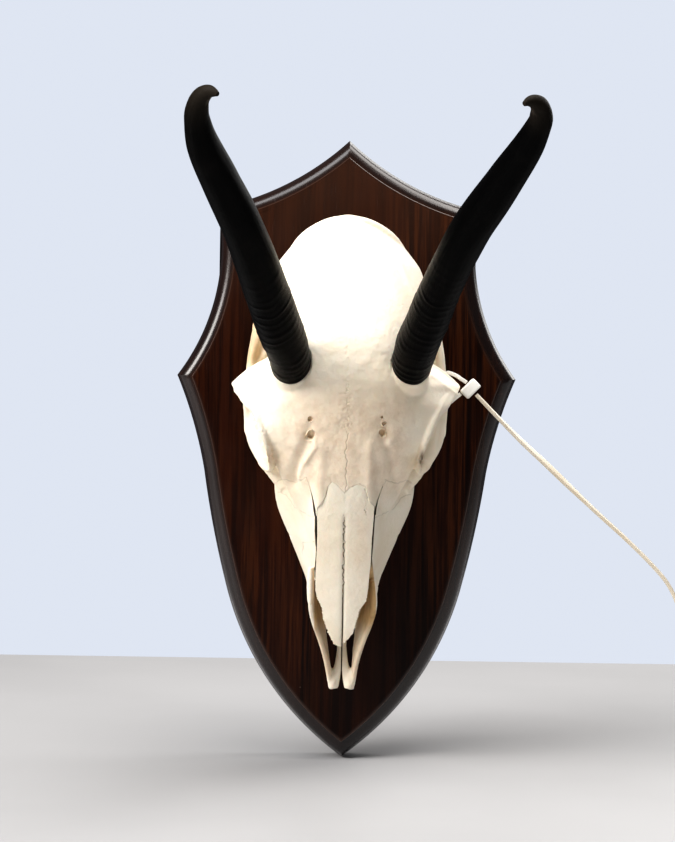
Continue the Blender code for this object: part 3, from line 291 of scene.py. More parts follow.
# Lights: place, target, size, watts and colour
LIGHTS = {
    "key": ((-1.10, -0.78, 0.70), (0, -0.06, 0.0), 0.7, 24.5, (1.0, 0.965, 0.93)),
    "window": ((-0.62, -0.62, 1.12), (0, -0.06, 0.05), 0.7, 8.5, (0.97, 0.98, 1.0)),
    "top": ((0.10, -0.48, 1.30), (0, -0.06, 0.05), 0.8, 14.0, (1.0, 0.97, 0.94)),
    "side": ((0.60, 0.05, 1.20), (0, -0.06, 0.05), 0.8, 10.5, (1.0, 0.97, 0.94)),
    "back": ((0.8, 1.3, 0.8), (0, 0, 0.0), 1.0, 6.0, (1.0, 0.99, 0.97)),
}


# Curves and sections

def world(x, z, h):
    """Turn a place on the skull, in millimetres, into the frame in metres."""
    return Vector((x, -(SHIELD_THICK + h), z)) * MM


def smooth_value(points, at):
    """Read a smooth curve through (position, value) points, held flat beyond its ends."""
    if at <= points[0][0]:
        return points[0][1]
    if at >= points[-1][0]:
        return points[-1][1]
    last = len(points) - 1
    i = next(n for n in range(last) if at <= points[n + 1][0])

    def slope(n):
        low = max(n - 1, 0)
        high = min(n + 1, last)
        return (points[high][1] - points[low][1]) / (points[high][0] - points[low][0])

    span = points[i + 1][0] - points[i][0]
    t = (at - points[i][0]) / span
    rise = (2 * t ** 3 - 3 * t ** 2 + 1) * points[i][1] + (3 * t ** 2 - 2 * t ** 3) * points[i + 1][1]
    bend = (t ** 3 - 2 * t ** 2 + t) * slope(i) + (t ** 3 - t ** 2) * slope(i + 1)
    return rise + bend * span


def straight_value(points, at):
    """Read the value at a place on straight lines between (position, value) points."""
    return float(np.interp(at, [p[0] for p in points], [p[1] for p in points]))


def reaches(points):
    """How far along a path each of its points lies."""
    made = [0.0]
    for a, b in zip(points, points[1:]):
        made.append(made[-1] + (Vector(b[:3]) - Vector(a[:3])).length)
    return made


def along_path(points, spots):
    """Values of a smooth curve through the given points, read at distances along it."""
    reach = reaches(points)
    axes = [list(zip(reach, values)) for values in zip(*points)]
    return [[smooth_value(axis, spot) for axis in axes] for spot in spots]


def smooth_path(points, count):
    """Spread count points evenly along a smooth curve through the given ones."""
    length = reaches(points)[-1]
    return [Vector(v) for v in along_path(points, [length * n / (count - 1) for n in range(count)])]


def direction(points, n):
    """Unit vector along a path at one of its points."""
    last = len(points) - 1
    return (points[min(n + 1, last)] - points[max(n - 1, 0)]).normalized()


def circle(count):
    """Evenly spaced angles, all the way round."""
    return [2 * math.pi * n / count for n in range(count)]


def on_side(side, points):
    """Places given for the viewer's right, as places on one side of the skull's middle."""
    return [(side * x + SKULL_X, z, h) for x, z, h in points]


def stations(first, last, step):
    """Evenly spaced values from first to last."""
    count = max(round(abs(last - first) / step), 1)
    return [first + (last - first) * n / count for n in range(count + 1)]


def arc_centre(start, end, bulge):
    """Centre and signed radius of the arc whose middle stands bulge to the right of its chord."""
    chord = end - start
    side = Vector((chord.y, -chord.x)).normalized()
    radius = (chord.length ** 2 / 4 + bulge ** 2) / (2 * bulge)
    return (start + end) / 2 - side * (radius - bulge), radius


def arc(start, end, bulge, count):
    """Points on a circular arc from start towards end."""
    centre = arc_centre(start, end, bulge)[0]
    first = start - centre
    turn = first.angle_signed(end - centre)
    return [centre + Matrix.Rotation(-turn * n / count, 2) @ first for n in range(count)]


# Mesh builders

def new_object(name, bm):
    """Turn a bmesh whose places are already in metres into an object in the scene."""
    mesh = bpy.data.meshes.new(name)
    bm.to_mesh(mesh)
    bm.free()
    obj = bpy.data.objects.new(name, mesh)
    bpy.context.scene.collection.objects.link(obj)
    return obj


def finish_mesh(name, bm):
    """Turn a bmesh into an object with outward faces."""
    bmesh.ops.recalc_face_normals(bm, faces=bm.faces)
    return new_object(name, bm)


def loft(name, rings, closed=False):
    """Join rings of equal count into a tube with flat ends, or back to the first ring when closed."""
    bm = bmesh.new()
    rows = [[bm.verts.new(p) for p in ring] for ring in rings]
    for row, following in zip(rows, rows[1:] + rows[:1] if closed else rows[1:]):
        count = len(row)
        for n in range(count):
            m = (n + 1) % count
            bm.faces.new((row[n], row[m], following[m], following[n]))
    if not closed:
        ends = [bm.faces.new(rows[0]), bm.faces.new(rows[-1])]
        bmesh.ops.triangulate(bm, faces=[face for face in ends if len(face.verts) > 4])
    return finish_mesh(name, bm)


def ball(name, side, centre, radii, turn=0.0):
    """An ellipsoid on one side of the skull with radii along x, z and h, turned about the h axis."""
    bm = bmesh.new()
    bmesh.ops.create_uvsphere(bm, u_segments=32, v_segments=20, radius=1.0)
    spin = Matrix.Rotation(turn, 3, "Z")
    middle = Vector(on_side(side, [centre])[0])
    for vert in bm.verts:
        vert.co = world(*(middle + spin @ (vert.co * Vector(radii))))
    return finish_mesh(name, bm)


def box(name, low, high):
    """A box between two (x, z, h) corners."""
    bm = bmesh.new()
    bmesh.ops.create_cube(bm, size=1.0)
    for vert in bm.verts:
        vert.co = world(*(low[n] + (high[n] - low[n]) * (vert.co[n] + 0.5) for n in range(3)))
    return finish_mesh(name, bm)


def sweep(name, points, radii, up=(0, 0, 1), sides=20):
    """A bar along (x, z, h) points whose section has (across, up) radii at each point."""
    points = [Vector(p) for p in points]
    rings = []
    for n, (point, (wide, tall)) in enumerate(zip(points, radii)):
        along = direction(points, n)
        across = along.cross(Vector(up)).normalized()
        lift = across.cross(along).normalized()
        ring = []
        for angle in circle(sides):
            ring.append(world(*(point + across * (wide * math.cos(angle)) + lift * (tall * math.sin(angle)))))
        rings.append(ring)
    return loft(name, rings)


def bar(name, side, points, radii, up=(0, 0, 1), count=24):
    """A smooth bar on one side of the skull, with its path and radii read from smooth curves."""
    last = len(radii) - 1
    keys = [[(n / last, radius[axis]) for n, radius in enumerate(radii)] for axis in (0, 1)]
    spread = [[smooth_value(key, n / (count - 1)) for key in keys] for n in range(count)]
    return sweep(name, smooth_path(on_side(side, points), count), spread, up)


def baked(obj):
    """Replace an object's mesh by its evaluated one and clear its modifiers."""
    graph = bpy.context.evaluated_depsgraph_get()
    graph.update()
    mesh = bpy.data.meshes.new_from_object(obj.evaluated_get(graph))
    obj.modifiers.clear()
    obj.data = mesh
    return obj


def joined(name, objects):
    """Join objects into one mesh object and remove them."""
    bm = bmesh.new()
    for obj in objects:
        bm.from_mesh(obj.data)
        bpy.data.objects.remove(obj)
    return new_object(name, bm)


def fused(obj, voxel, reach):
    """Fuse overlapping closed shells into one skin and smooth it over a reach in millimetres."""
    remesh = obj.modifiers.new("fuse", "REMESH")
    remesh.mode = "VOXEL"
    remesh.voxel_size = voxel * MM
    smooth = obj.modifiers.new("smooth", "SMOOTH")
    smooth.factor = 0.5
    smooth.iterations = max(round(4 * (reach / voxel) ** 2), 2)
    return baked(obj)


def cut(obj, cutters):
    """Cut the cutters from an object by one Boolean, and remove them."""
    group = bpy.data.collections.new("cutters")
    for cutter in cutters:
        group.objects.link(cutter)
    step = obj.modifiers.new("cut", "BOOLEAN")
    step.operation = "DIFFERENCE"
    step.operand_type = "COLLECTION"
    step.collection = group
    step.solver = "MANIFOLD"
    baked(obj)
    for cutter in cutters:
        bpy.data.objects.remove(cutter)
    bpy.data.collections.remove(group)


def largest_shell(obj):
    """Keep only the object's largest closed surface."""
    bm = bmesh.new()
    bm.from_mesh(obj.data)
    left = set(bm.faces)
    best = []
    while left:
        stack = [left.pop()]
        group = list(stack)
        while stack:
            for edge in stack.pop().edges:
                for other in edge.link_faces:
                    if other in left:
                        left.discard(other)
                        stack.append(other)
                        group.append(other)
        if len(group) > len(best):
            best = group
    keep = set(best)
    bmesh.ops.delete(bm, geom=[f for f in bm.faces if f not in keep], context="FACES")
    bm.to_mesh(obj.data)
    bm.free()
    return obj


# Skull body

def ring_section(keys, z, steps, lean=0.0):
    """A closed smooth section through right-hand (x, h) keys from top to bottom, and its mirror."""
    keys = [Vector((x, h)) for x, h in keys]
    loop = keys + [Vector((-k.x, k.y)) for k in keys[-2:0:-1]]
    count = len(loop)
    ring = []
    for n in range(count):
        a, b, c, d = (loop[(n + k) % count] for k in (-1, 0, 1, 2))
        for step in range(steps):
            t = step / steps
            spot = 0.5 * (2 * b + (c - a) * t + (2 * a - 5 * b + 4 * c - d) * t ** 2
                          + (3 * b - a - 3 * c + d) * t ** 3)
            back = lean * max(spot.y - PALATE_HEIGHT, 0)
            ring.append(world(SKULL_X + spot.x, z + back, spot.y))
    return ring


def snout_body():
    """Nasal roof, cheeks and palate, from the front of the nasal bones to the orbits."""
    rings = []
    for z in stations(*SNOUT_SPAN, 2.0):
        lean = SNOUT_LEAN * min(max((-36 - z) / 30, 0), 1)
        roof_z = z + lean * 30
        top = smooth_value(MIDLINE, roof_z)
        nasal = smooth_value(NASAL_HALF, roof_z)
        wide = smooth_value(CHEEK_HALF, z + lean * 8)
        level = smooth_value(CHEEK_HEIGHT, z)
        gum = smooth_value(GUM_HALF, z)
        foot = smooth_value(GUM_HEIGHT, z)
        shoulder = top - 1.6
        side = (nasal + (wide - nasal) * 0.42, level + (shoulder - level) * 0.52)
        keys = [(0, top), (nasal * 0.55, top - 0.4), (nasal, shoulder), side, (wide, level),
                (gum + 0.6, foot + 8), (gum, foot), (gum - 7.5, foot),
                (max(gum - 10, 2.0), PALATE_HEIGHT), (0, PALATE_HEIGHT + 1)]
        rings.append(ring_section(keys, z, 5, lean))
    return loft("snout", rings)


def brow_body():
    """Forehead with the plates that roof the orbits and run out to the postorbital corners."""
    rings = []
    for z in sorted(stations(BROW_HALF[0][0], BROW_HALF[-1][0], 1.6) + [BROW_CORNER_Z]):
        top = smooth_value(MIDLINE, z)
        half = smooth_value(BROW_HALF, z) if z < 18 else straight_value(BROW_HALF, z)
        fall = smooth_value(BROW_FALL, z)
        edge = top - fall
        keys = [(0, top)]
        for part in (0.3, 0.55, 0.75, 0.9, 1.0):
            keys.append((half * part, top - fall * part ** 2.4))
        keys += [(half, edge - 3.2), (half * 0.86, edge - 5.5), (half * 0.6, edge - 12), (16, 40),
                 (14, 30), (0, 29)]
        rings.append(ring_section(keys, z, 4))
    return loft("brow", rings)


def braincase_body():
    """The rounded box behind the horns."""
    rings = []
    for z in stations(BRAIN_HALF[0][0], BRAIN_HALF[-1][0], 2.1):
        top = smooth_value(MIDLINE, z) + 0.3
        under = smooth_value(BRAIN_UNDER, z)
        half = smooth_value(BRAIN_HALF, z)
        middle = under + (top - under) * 0.52
        keys = []
        for n in range(9):
            angle = math.radians(90 - 180 * n / 8)
            reach = math.copysign(abs(math.cos(angle)) ** 0.9, math.cos(angle))
            rise = math.sin(angle)
            tall = top - middle if rise > 0 else middle - under
            keys.append((half * reach, middle + tall * rise))
        keys[0] = (0, top)
        keys[-1] = (0, under)
        rings.append(ring_section(keys, z, 4))
    return loft("braincase", rings)


def orbit_axes(side):
    """Unit vectors of an orbit: backwards along the rim, up the rim, and out of the opening."""
    back = Vector((math.sin(ORBIT_YAW), math.cos(ORBIT_YAW), 0))
    out = Vector((math.cos(ORBIT_YAW) * math.cos(ORBIT_TILT), -math.sin(ORBIT_YAW) * math.cos(ORBIT_TILT),
                  math.sin(ORBIT_TILT)))
    rise = out.cross(back).normalized()
    if rise.z < 0:
        rise = -rise
    return [Vector((side * v.x, v.y, v.z)) for v in (back, rise, out)]


def orbit_centre(side):
    """Centre of an orbit's rim."""
    return Vector(on_side(side, [ORBIT_CENTRE])[0])


def orbit_hollow(side):
    """The eye socket, as the solid that is cut from the skull."""
    back, rise, out = orbit_axes(side)
    centre = orbit_centre(side) - out * 2.0
    bm = bmesh.new()
    bmesh.ops.create_uvsphere(bm, u_segments=64, v_segments=40, radius=1.0)
    for vert in bm.verts:
        depth = ORBIT_DEPTH if vert.co.z < 0 else ORBIT_MOUTH
        spot = centre + back * (vert.co.x * (ORBIT_LONG - RIM_OVERLAP)) + out * (vert.co.z * depth)
        vert.co = world(*(spot + rise * (vert.co.y * (ORBIT_TALL - RIM_OVERLAP))))
    return finish_mesh("orbit", bm)


def orbit_rim(side):
    """The raised bony ring round an eye socket."""
    back, rise, out = orbit_axes(side)
    rings = []
    for turn in circle(96):
        spoke = back * math.cos(turn) * ORBIT_LONG + rise * math.sin(turn) * ORBIT_TALL
        outward = spoke.normalized()
        slim = 0.5 + 0.5 * min(max(-2 * math.sin(turn), 0), 1)
        spoke.x -= side * ORBIT_PULL * max(math.cos(turn), 0) * max(0.25 - math.sin(turn), 0)
        ring = []
        for angle in circle(16):
            section = outward * (RIM_WIDE * math.cos(angle)) + out * (RIM_HIGH * math.sin(angle))
            ring.append(world(*(orbit_centre(side) + spoke + section * slim)))
        rings.append(ring)
    return loft("rim", rings, closed=True)


def side_bars(side):
    """Cheek bone, orbit floor, postorbital bar, zygomatic arch and root of the jaw joint, one side."""
    cheek = ((23.5, -16, 36), (29.0, -9.5, 34.5), (34.6, -3.6, 32.5), (38.4, 3, 32), (39.8, 11, 32),
             (40.4, 19, 32.5), (40.2, 27, 33.5))
    cheek_radii = ((4.0, 7.0), (3.0, 6.0), (2.6, 4.6), (2.4, 4.2), (2.3, 4.0), (2.3, 3.8), (2.2, 3.6))
    arch = ((40.2, 24, 33.5), (39.6, 33, 34.5), (38.2, 42, 36.5), (34, 51, 38), (26, 57, 38))
    arch_radii = ((2.2, 3.8), (2.1, 4.0), (2.4, 4.0), (4.5, 3.6), (6.0, 4.0))
    post = ((42.0, 25.2, 54), (41.2, 25.0, 49), (40.2, 24.6, 43), (39.6, 24, 37), (39.6, 24, 33))
    post_radii = ((1.8, 3.2), (2.0, 3.8), (2.2, 4.2), (2.3, 4.2), (2.3, 4.4))
    floor = ((24, -13, 38), (29.5, -6, 37.5), (33, 1, 36.4), (35.2, 9, 36), (36.6, 17, 36), (37.4, 24, 36))
    floor_radii = ((5.0, 4.0), (5.0, 4.0), (4.6, 3.4), (3.8, 3.0), (3.0, 2.8), (2.4, 2.6))
    inside = ((36.0, 29, 35), (35.6, 38, 35.5), (34, 46, 37))
    return [
        bar("cheek", side, cheek, cheek_radii),
        bar("arch", side, arch, arch_radii),
        bar("post", side, post, post_radii, up=(0, 1, 0)),
        bar("floor", side, floor, floor_radii),
        bar("inside", side, inside, ((4.2, 2.0),) * 3),
        ball("joint", side, (31, 50, 34.5), (8.5, 7.5, 4.0)),
    ]


def back_pieces():
    """Nuchal crest, condyles, paroccipital processes, ear bullae and skull base."""
    base = ((0, 92, 27), (0, 70, 22), (0, 46, 24), (0, 20, 28))
    crest = ((-26, 76, 41), (-19.4, 86.6, 47.2), (-10, 92.8, 49.4), (0, 94.8, 49.8), (10, 92.8, 49.4),
             (19.4, 86.6, 47.2), (26, 76, 41))
    paroccipital = ((19, 80, 30), (20.5, 79.5, 20), (21, 77.5, 9))
    pterygoid = ((9.5, 2, 17), (9.0, 14, 20), (8.5, 26, 25))
    made = [bar("base", 1, base, ((9, 6), (10, 5), (9, 5), (8, 5))),
            bar("crest", 1, crest, ((1.5, 1.5),) * 7, count=48)]
    for side in (-1, 1):
        made += [
            ball("condyle", side, (8.6, 91.0, 26.0), (4.8, 5.2, 7.4), side * 0.5),
            ball("bulla", side, (15.0, 65.0, 19.0), (6.8, 11.0, 8.5), side * 0.2),
            bar("paroccipital", side, paroccipital, ((4.6, 4.2), (3.4, 3.8), (1.7, 2.2)), up=(0, 1, 0)),
            bar("pterygoid", side, pterygoid, ((1.3, 7.0), (1.3, 7.5), (1.3, 6.0))),
        ]
    return made


def ramus_rings(side):
    """Sections of the thin outer wall of one premaxilla."""
    rings = []
    for z in stations(RAMUS_THICK[-1][0], RAMUS_THICK[0][0], 1.5):
        upper = Vector([smooth_value(curve, z) for curve in RAMUS_TOP])
        lower = Vector([smooth_value(curve, z) for curve in RAMUS_BOTTOM])
        if side > 0:
            lower.x -= straight_value(RAMUS_LEAN, z)
        half = smooth_value(RAMUS_THICK, z) / 2
        lean = (upper - lower).normalized()
        away = Vector((lean.y, -lean.x)) * half
        edge = [(upper, 0.45), (upper - lean * half, 1.0), (lower + lean * half, 1.0), (lower, 0.45)]
        ring = [end + away * spread for end, spread in edge]
        ring += [end - away * spread for end, spread in edge[::-1]]
        rings.append([world(side * p.x + SKULL_X, z, p.y) for p in ring])
    return rings


def premaxilla_pieces():
    """Outer and inner rami of both premaxillae, which end in two blunt tips, and the bone between them."""
    inner = ((1.2, -66, 13.6), (1.0, -80, 12.6), (1.2, -91, 12.4), (2.3, -97, 12.0), (3.4, -102.4, 11.8))
    inner_radii = ((1.2, 1.5), (1.1, 1.4), (1.1, 1.4), (1.8, 1.7), (2.2, 1.7))
    floor = ((0, -56, 13), (0, -66, 13), (0, -76, 12.6))
    lip = [(13.3, z, smooth_value(MIDLINE, z) - 3.0) for z in (-48, -53, -58, -63.5)]
    made = [bar("floor", 1, floor, ((10, 2.4), (8.6, 2.0), (6.6, 1.4))),
            bar("lip", -1, lip, ((1.2, 1.2), (1.6, 2.0), (1.6, 2.2), (1.2, 2.0)))]
    for side in (-1, 1):
        made += [
            loft("ramus", ramus_rings(side)),
            bar("inner", side, inner, inner_radii),
            ball("tip", side, (3.8, -98.6, 12.4), (2.2, 4.6, 1.9)),
        ]
    return made


def horn_axis(points):
    """Unit vector along the first length of a horn."""
    return (Vector(points[1][:3]) - Vector(points[0][:3])).normalized()


def pedicle(points):
    """The bony stump that carries a horn."""
    start = Vector(points[0][:3])
    along = horn_axis(points)
    radius = points[0][3] / 2 - 0.5
    path = []
    radii = []
    for depth, flare in ((14, 2.4), (7, 0.8), (0, 0)):
        path.append(start - along * depth)
        radii.append((radius + flare, (radius + flare) * HORN_DEPTH_RATIO))
    return sweep("pedicle", path, radii, up=(0, 1, 0), sides=40)


def nasal_cavity():
    """The hollow of the nose, cut from the snout from its front opening inwards."""
    rings = []
    for z, half, low, high in CAVITY:
        keys = [(0, high), (half * 0.7, high - 1), (half, (low + high) / 2), (half * 0.8, low + 1), (0, low)]
        rings.append(ring_section(keys, z, 5))
    return loft("cavity", rings)


def horn_seat(points):
    """The room that a horn's base takes out of the bone."""
    path, halves = horn_path(points, stations(0, HORN_SEAT_LENGTH, 2.0))
    radii = [(half + HORN_SEAT_PLAY, half * HORN_DEPTH_RATIO + HORN_SEAT_PLAY) for half in halves]
    return sweep("seat", path, radii, up=(0, 1, 0), sides=48)


# Cuts in the bone

def nasal_plate(name, side, grow, top_rise, thick):
    """One nasal bone as a curved plate with ragged edges, or its seat in the bone when it has grown."""
    draw = random.Random(11 + side)
    back = NASAL_BACK[side]
    first = NASAL_EDGE[side][0][0] - grow
    last = back[0][1] - 3 * grow
    rings = []
    for row in range(NASAL_ROWS + 1):
        share = row / NASAL_ROWS
        z_mid = first + (last - first) * share
        stray = NASAL_RAGGED if z_mid < -60 else NASAL_UNEVEN
        half = straight_value(NASAL_EDGE[side], z_mid) + grow + draw.uniform(-stray, stray)
        inner = joint_wave(z_mid) * side + joint_gap(z_mid) - grow
        upper = []
        lower = []
        for column in range(NASAL_COLUMNS + 1):
            x = inner + (max(half, inner + 0.4) - inner) * column / NASAL_COLUMNS
            z = z_mid + (straight_value(back, max(x, 0)) - back[0][1]) * share ** 4
            crown = smooth_value(MIDLINE, z) + 0.35 * (1 - share ** 6) - 1.3 * (x / 12) ** 2
            upper.append(world(side * x + SKULL_X, z, crown + top_rise))
            lower.append(world(side * x + SKULL_X, z, crown - thick * (1 - 0.78 * share ** 8)))
        rings.append(upper + lower[::-1])
    return loft(name, rings)


def joint_wave(z):
    """Sideways zigzag of the joint between the two nasal bones."""
    slow = noise.noise(Vector((z * 0.6, 3.1, 0)))
    return straight_value(JOINT_WAVE, z) * (slow + noise.noise(Vector((z * 1.5, 9.4, 0))))


def joint_gap(z):
    """Half the gap between the two nasal bones."""
    pits = max(1.7 * noise.noise(Vector((z * 0.95, 5.7, 1.0))), 0)
    return straight_value(JOINT_GAP, z) + pits * straight_value(JOINT_PITS, z)


def slot_cutter(name, rows):
    """A cutter for an open slit, from (z, one edge, other edge, top, bottom) rows."""
    rings = []
    for z, one, other, top, bottom in rows:
        corners = ((one, top), (other, top), (other, bottom), (one, bottom))
        rings.append([world(x + SKULL_X, z, h) for x, h in corners])
    return loft(name, rings)


def fissure_cut(side):
    """The open slit beside a nasal bone, cut deep so that it looks dark."""
    rows = []
    for z in stations(*FISSURE_SPAN, 0.6):
        inner = straight_value(NASAL_EDGE[side], z) - 0.3
        outer = straight_value(FISSURE_EDGE[side], z) + 0.05 * noise.noise(Vector((z * 1.7, side, 0)))
        roof = smooth_value(MIDLINE, z)
        rows.append((z, side * inner, side * outer, roof + 3, roof - straight_value(FISSURE_DEPTH[side], z)))
    return slot_cutter("fissure", rows)


def spur_cut(side):
    """The open slit between the forehead's spur and the tear bone."""
    points = SPUR_FISSURE[side]
    rows = []
    for at in stations(0, len(points) - 1, (len(points) - 1) / 24):
        x, z, width = (float(np.interp(at, range(len(points)), values)) for values in zip(*points))
        x += 0.08 * noise.noise(Vector((z * 1.9, side, 4.0)))
        top = smooth_value(MIDLINE, z) + 4
        rows.append((z, x - width / 2, x + width / 2, top, top - 14))
    return slot_cutter("spur", rows)


def tip_slit():
    """The gap between the two premaxillae, which widens at their tips."""
    return slot_cutter("slit", [(z, -half, half, 30, -5) for z, half in TIP_GAP])


def foramen(hole, side=1):
    """One round hole, narrowing inwards."""
    mouth, end = (Vector(place) for place in on_side(side, hole[:2]))
    up = (0, 1, 0) if abs(end.z - mouth.z) > 4 else (0, 0, 1)
    path = []
    radii = []
    for depth, size in ((0, 1.25), (0.3, 1.0), (0.7, 0.9), (1.0, 0.65)):
        path.append(mouth.lerp(end, depth))
        radii.append((hole[2] * size, hole[3] * size))
    return sweep("foramen", path, radii, up=up, sides=28)


def bone_cuts():
    """Everything that is cut from the fused bone."""
    low = (-BLOCK_HALF - BLOCK_PLAY, BLOCK_Z[0] - BLOCK_PLAY, -5)
    high = (BLOCK_HALF + BLOCK_PLAY, BLOCK_Z[1] + BLOCK_PLAY, BLOCK_TOP + BLOCK_PLAY)
    cuts = [bar("magnum", 1, ((0, 108, 33), (0, 80, 33)), ((7.6, 6.8), (6.0, 5.6)))]
    for side in (-1, 1):
        cuts.append(nasal_plate("seat", side, NASAL_SEAT_PLAY, NASAL_SEAT_RISE, NASAL_THICK + 0.05))
        cuts += [fissure_cut(side), spur_cut(side)]
        cuts += [foramen(hole, side) for hole in PAIRED_HOLES]
    cuts += [foramen(hole) for hole in FOREHEAD_HOLES + (TEAR_SLIT,)]
    return cuts + [tip_slit(), box("block_seat", low, high), horn_seat(HORN_LEFT), horn_seat(HORN_RIGHT)]


def make_bone():
    """Cranium, face, cheek bones and premaxillae as one skin, with their openings cut."""
    core = fused(joined("core", [snout_body(), brow_body(), braincase_body()]), CORE_VOXEL, CORE_SMOOTHING)
    cut(core, [orbit_hollow(-1), orbit_hollow(1), nasal_cavity()])
    pieces = [core] + back_pieces() + premaxilla_pieces()
    for side in (-1, 1):
        pieces += [orbit_rim(side)] + side_bars(side)
    pieces += [pedicle(HORN_LEFT), pedicle(HORN_RIGHT)]
    bone = fused(joined("bone", pieces), VOXEL, BONE_SMOOTHING)
    cut(bone, bone_cuts())
    return largest_shell(bone)


# Relief, stains and painted shade, worked out at each point of a mesh

def point_arrays(obj):
    """An object's points in metres and their normals, as arrays."""
    made = []
    for source, name in ((obj.data.vertices, "co"), (obj.data.vertex_normals, "vector")):
        values = np.empty(len(source) * 3)
        source.foreach_get(name, values)
        made.append(values.reshape(-1, 3))
    return made


def places(obj):
    """Skull places and skull-axis normals of an object's points, as arrays; x counts from the midline."""
    co, normal = point_arrays(obj)
    co = co / MM
    return co[:, 0] - SKULL_X, co[:, 2], -co[:, 1] - SHIELD_THICK, normal


def push_out(obj, amount):
    """Move each point along its normal by an amount in millimetres."""
    co, normal = point_arrays(obj)
    obj.data.vertices.foreach_set("co", (co + normal * (amount * MM)[:, None]).ravel())
    obj.data.update()


def paint(obj, name, red, green, blue):
    """Keep three values a point as a colour layer that a material reads."""
    colour = np.stack([red, green, blue, np.ones(len(red))], axis=1).astype(np.float32)
    layer = obj.data.color_attributes.new(name, "FLOAT_COLOR", "POINT")
    layer.data.foreach_set("color", colour.ravel())


def rough(x, z, h, size, seed):
    """Noise between about -1 and 1 whose bumps are about size across."""
    scale = 1.0 / size
    spots = zip(x * scale, z * scale, h * scale + seed * 17.3)
    return np.array([noise.fractal(Vector(s), 1.0, 2.0, 2) for s in spots])


def wiggled(points, step, size, seed):
    """A line through (x, z) points, broken into short steps that stray sideways."""
    draw = random.Random(seed)
    made = [points[0]]
    for (ax, az), (bx, bz) in zip(points, points[1:]):
        length = math.hypot(bx - ax, bz - az)
        count = max(round(length / step), 1)
        across = (-(bz - az) / length, (bx - ax) / length)
        for n in range(1, count + 1):
            stray = draw.uniform(-size, size)
            t = n / count
            made.append((ax + (bx - ax) * t + across[0] * stray, az + (bz - az) * t + across[1] * stray))
    return made


def line_distance(a, b, points):
    """Distance from each (a, b) place to a line through points of the same two axes."""
    best = np.full(a.shape, 1e9)
    for (a0, b0), (a1, b1) in zip(points, points[1:]):
        da = a1 - a0
        db = b1 - b0
        t = np.clip(((a - a0) * da + (b - b0) * db) / (da * da + db * db + 1e-9), 0, 1)
        best = np.minimum(best, np.hypot(a - a0 - t * da, b - b0 - t * db))
    return best


def hump(distance, width):
    """1 at a line or spot, falling smoothly to 0 over a width."""
    return np.exp(-(distance / width) ** 2)


def ramp(value, low, high):
    """0 below low, 1 above high, smooth between."""
    t = np.clip((value - low) / (high - low), 0, 1)
    return t * t * (3 - 2 * t)


def between(value, start, full, fade, end):
    """1 from full to fade, falling smoothly to 0 at start and end."""
    return ramp(value, start, full) * (1 - ramp(value, fade, end))


def suture_lines():
    """Every suture seen from the front, as (points, depth, width, darkness), with natural zigzags."""
    made = [
        (wiggled(MID_SUTURE[:6], 0.9, 0.34, 1), 0.16, 0.16, 0.32),
        (wiggled(MID_SUTURE[5:], 1.2, 0.6, 2), 0.05, 0.25, 0.02),
        (wiggled(CORONAL_SUTURE, 1.4, 0.8, 3), 0.03, 0.24, 0.0),
        (wiggled(LAMBDOID_SUTURE, 1.2, 0.7, 4), 0.04, 0.24, 0.0),
    ]
    for side in (-1, 1):
        edge = [(side * x, z) for x, z in NASAL_BACK[side]]
        made.append((wiggled(edge, 0.8, 0.12, 5 + side), 0.1, 0.16, 0.3))
    for seed, line in enumerate(FACE_LINES):
        strength = 1.0 if seed == 0 else 0.5
        made.append((wiggled(line, 0.9, 0.25, 20 + seed), 0.22 * strength, 0.16, 0.5 * strength))
    return made


def refine(obj, lines, reach, cuts):
    """Split the edges near lines seen from the front, so that fine relief has points to move."""
    x, z, _, normal = places(obj)
    near = np.zeros(len(x), dtype=bool)
    for points in lines:
        near |= line_distance(x, z, points) < reach
    near &= normal[:, 1] < -0.15
    bm = bmesh.new()
    bm.from_mesh(obj.data)
    edges = [edge for edge in bm.edges if all(near[vert.index] for vert in edge.verts)]
    bmesh.ops.subdivide_edges(bm, edges=edges, cuts=cuts, use_grid_fill=True)
    bm.to_mesh(obj.data)
    bm.free()


def corner_facet(x, z, h, front):
    """Push that makes a sharp crest before each postorbital corner, and a flat facet behind it."""
    across = np.abs(x) - CREST_START[0]
    up = z - CREST_START[1]
    beyond = -across * CREST_ALONG[1] + up * CREST_ALONG[0]
    along = across * CREST_ALONG[0] + up * CREST_ALONG[1]
    rise = np.where(beyond < 0, CREST_HEIGHT * np.exp(beyond / 2.2), CREST_HEIGHT - 0.42 * beyond)
    where = ramp(along, -5, 1) * ramp(front, 0.1, 0.4) * ramp(h, 46, 50) * ramp(z, 15, 20)
    return np.clip(rise, -1.6, CREST_HEIGHT) * where


def near_plate_edge(x, z):
    """1 along the pitted edges of the plates before both orbits, 0 elsewhere."""
    left = hump(line_distance(x, z, PITTED_LEFT), 2.6)
    return np.maximum(left, 0.6 * hump(line_distance(x, z, PITTED_RIGHT), 2.2))


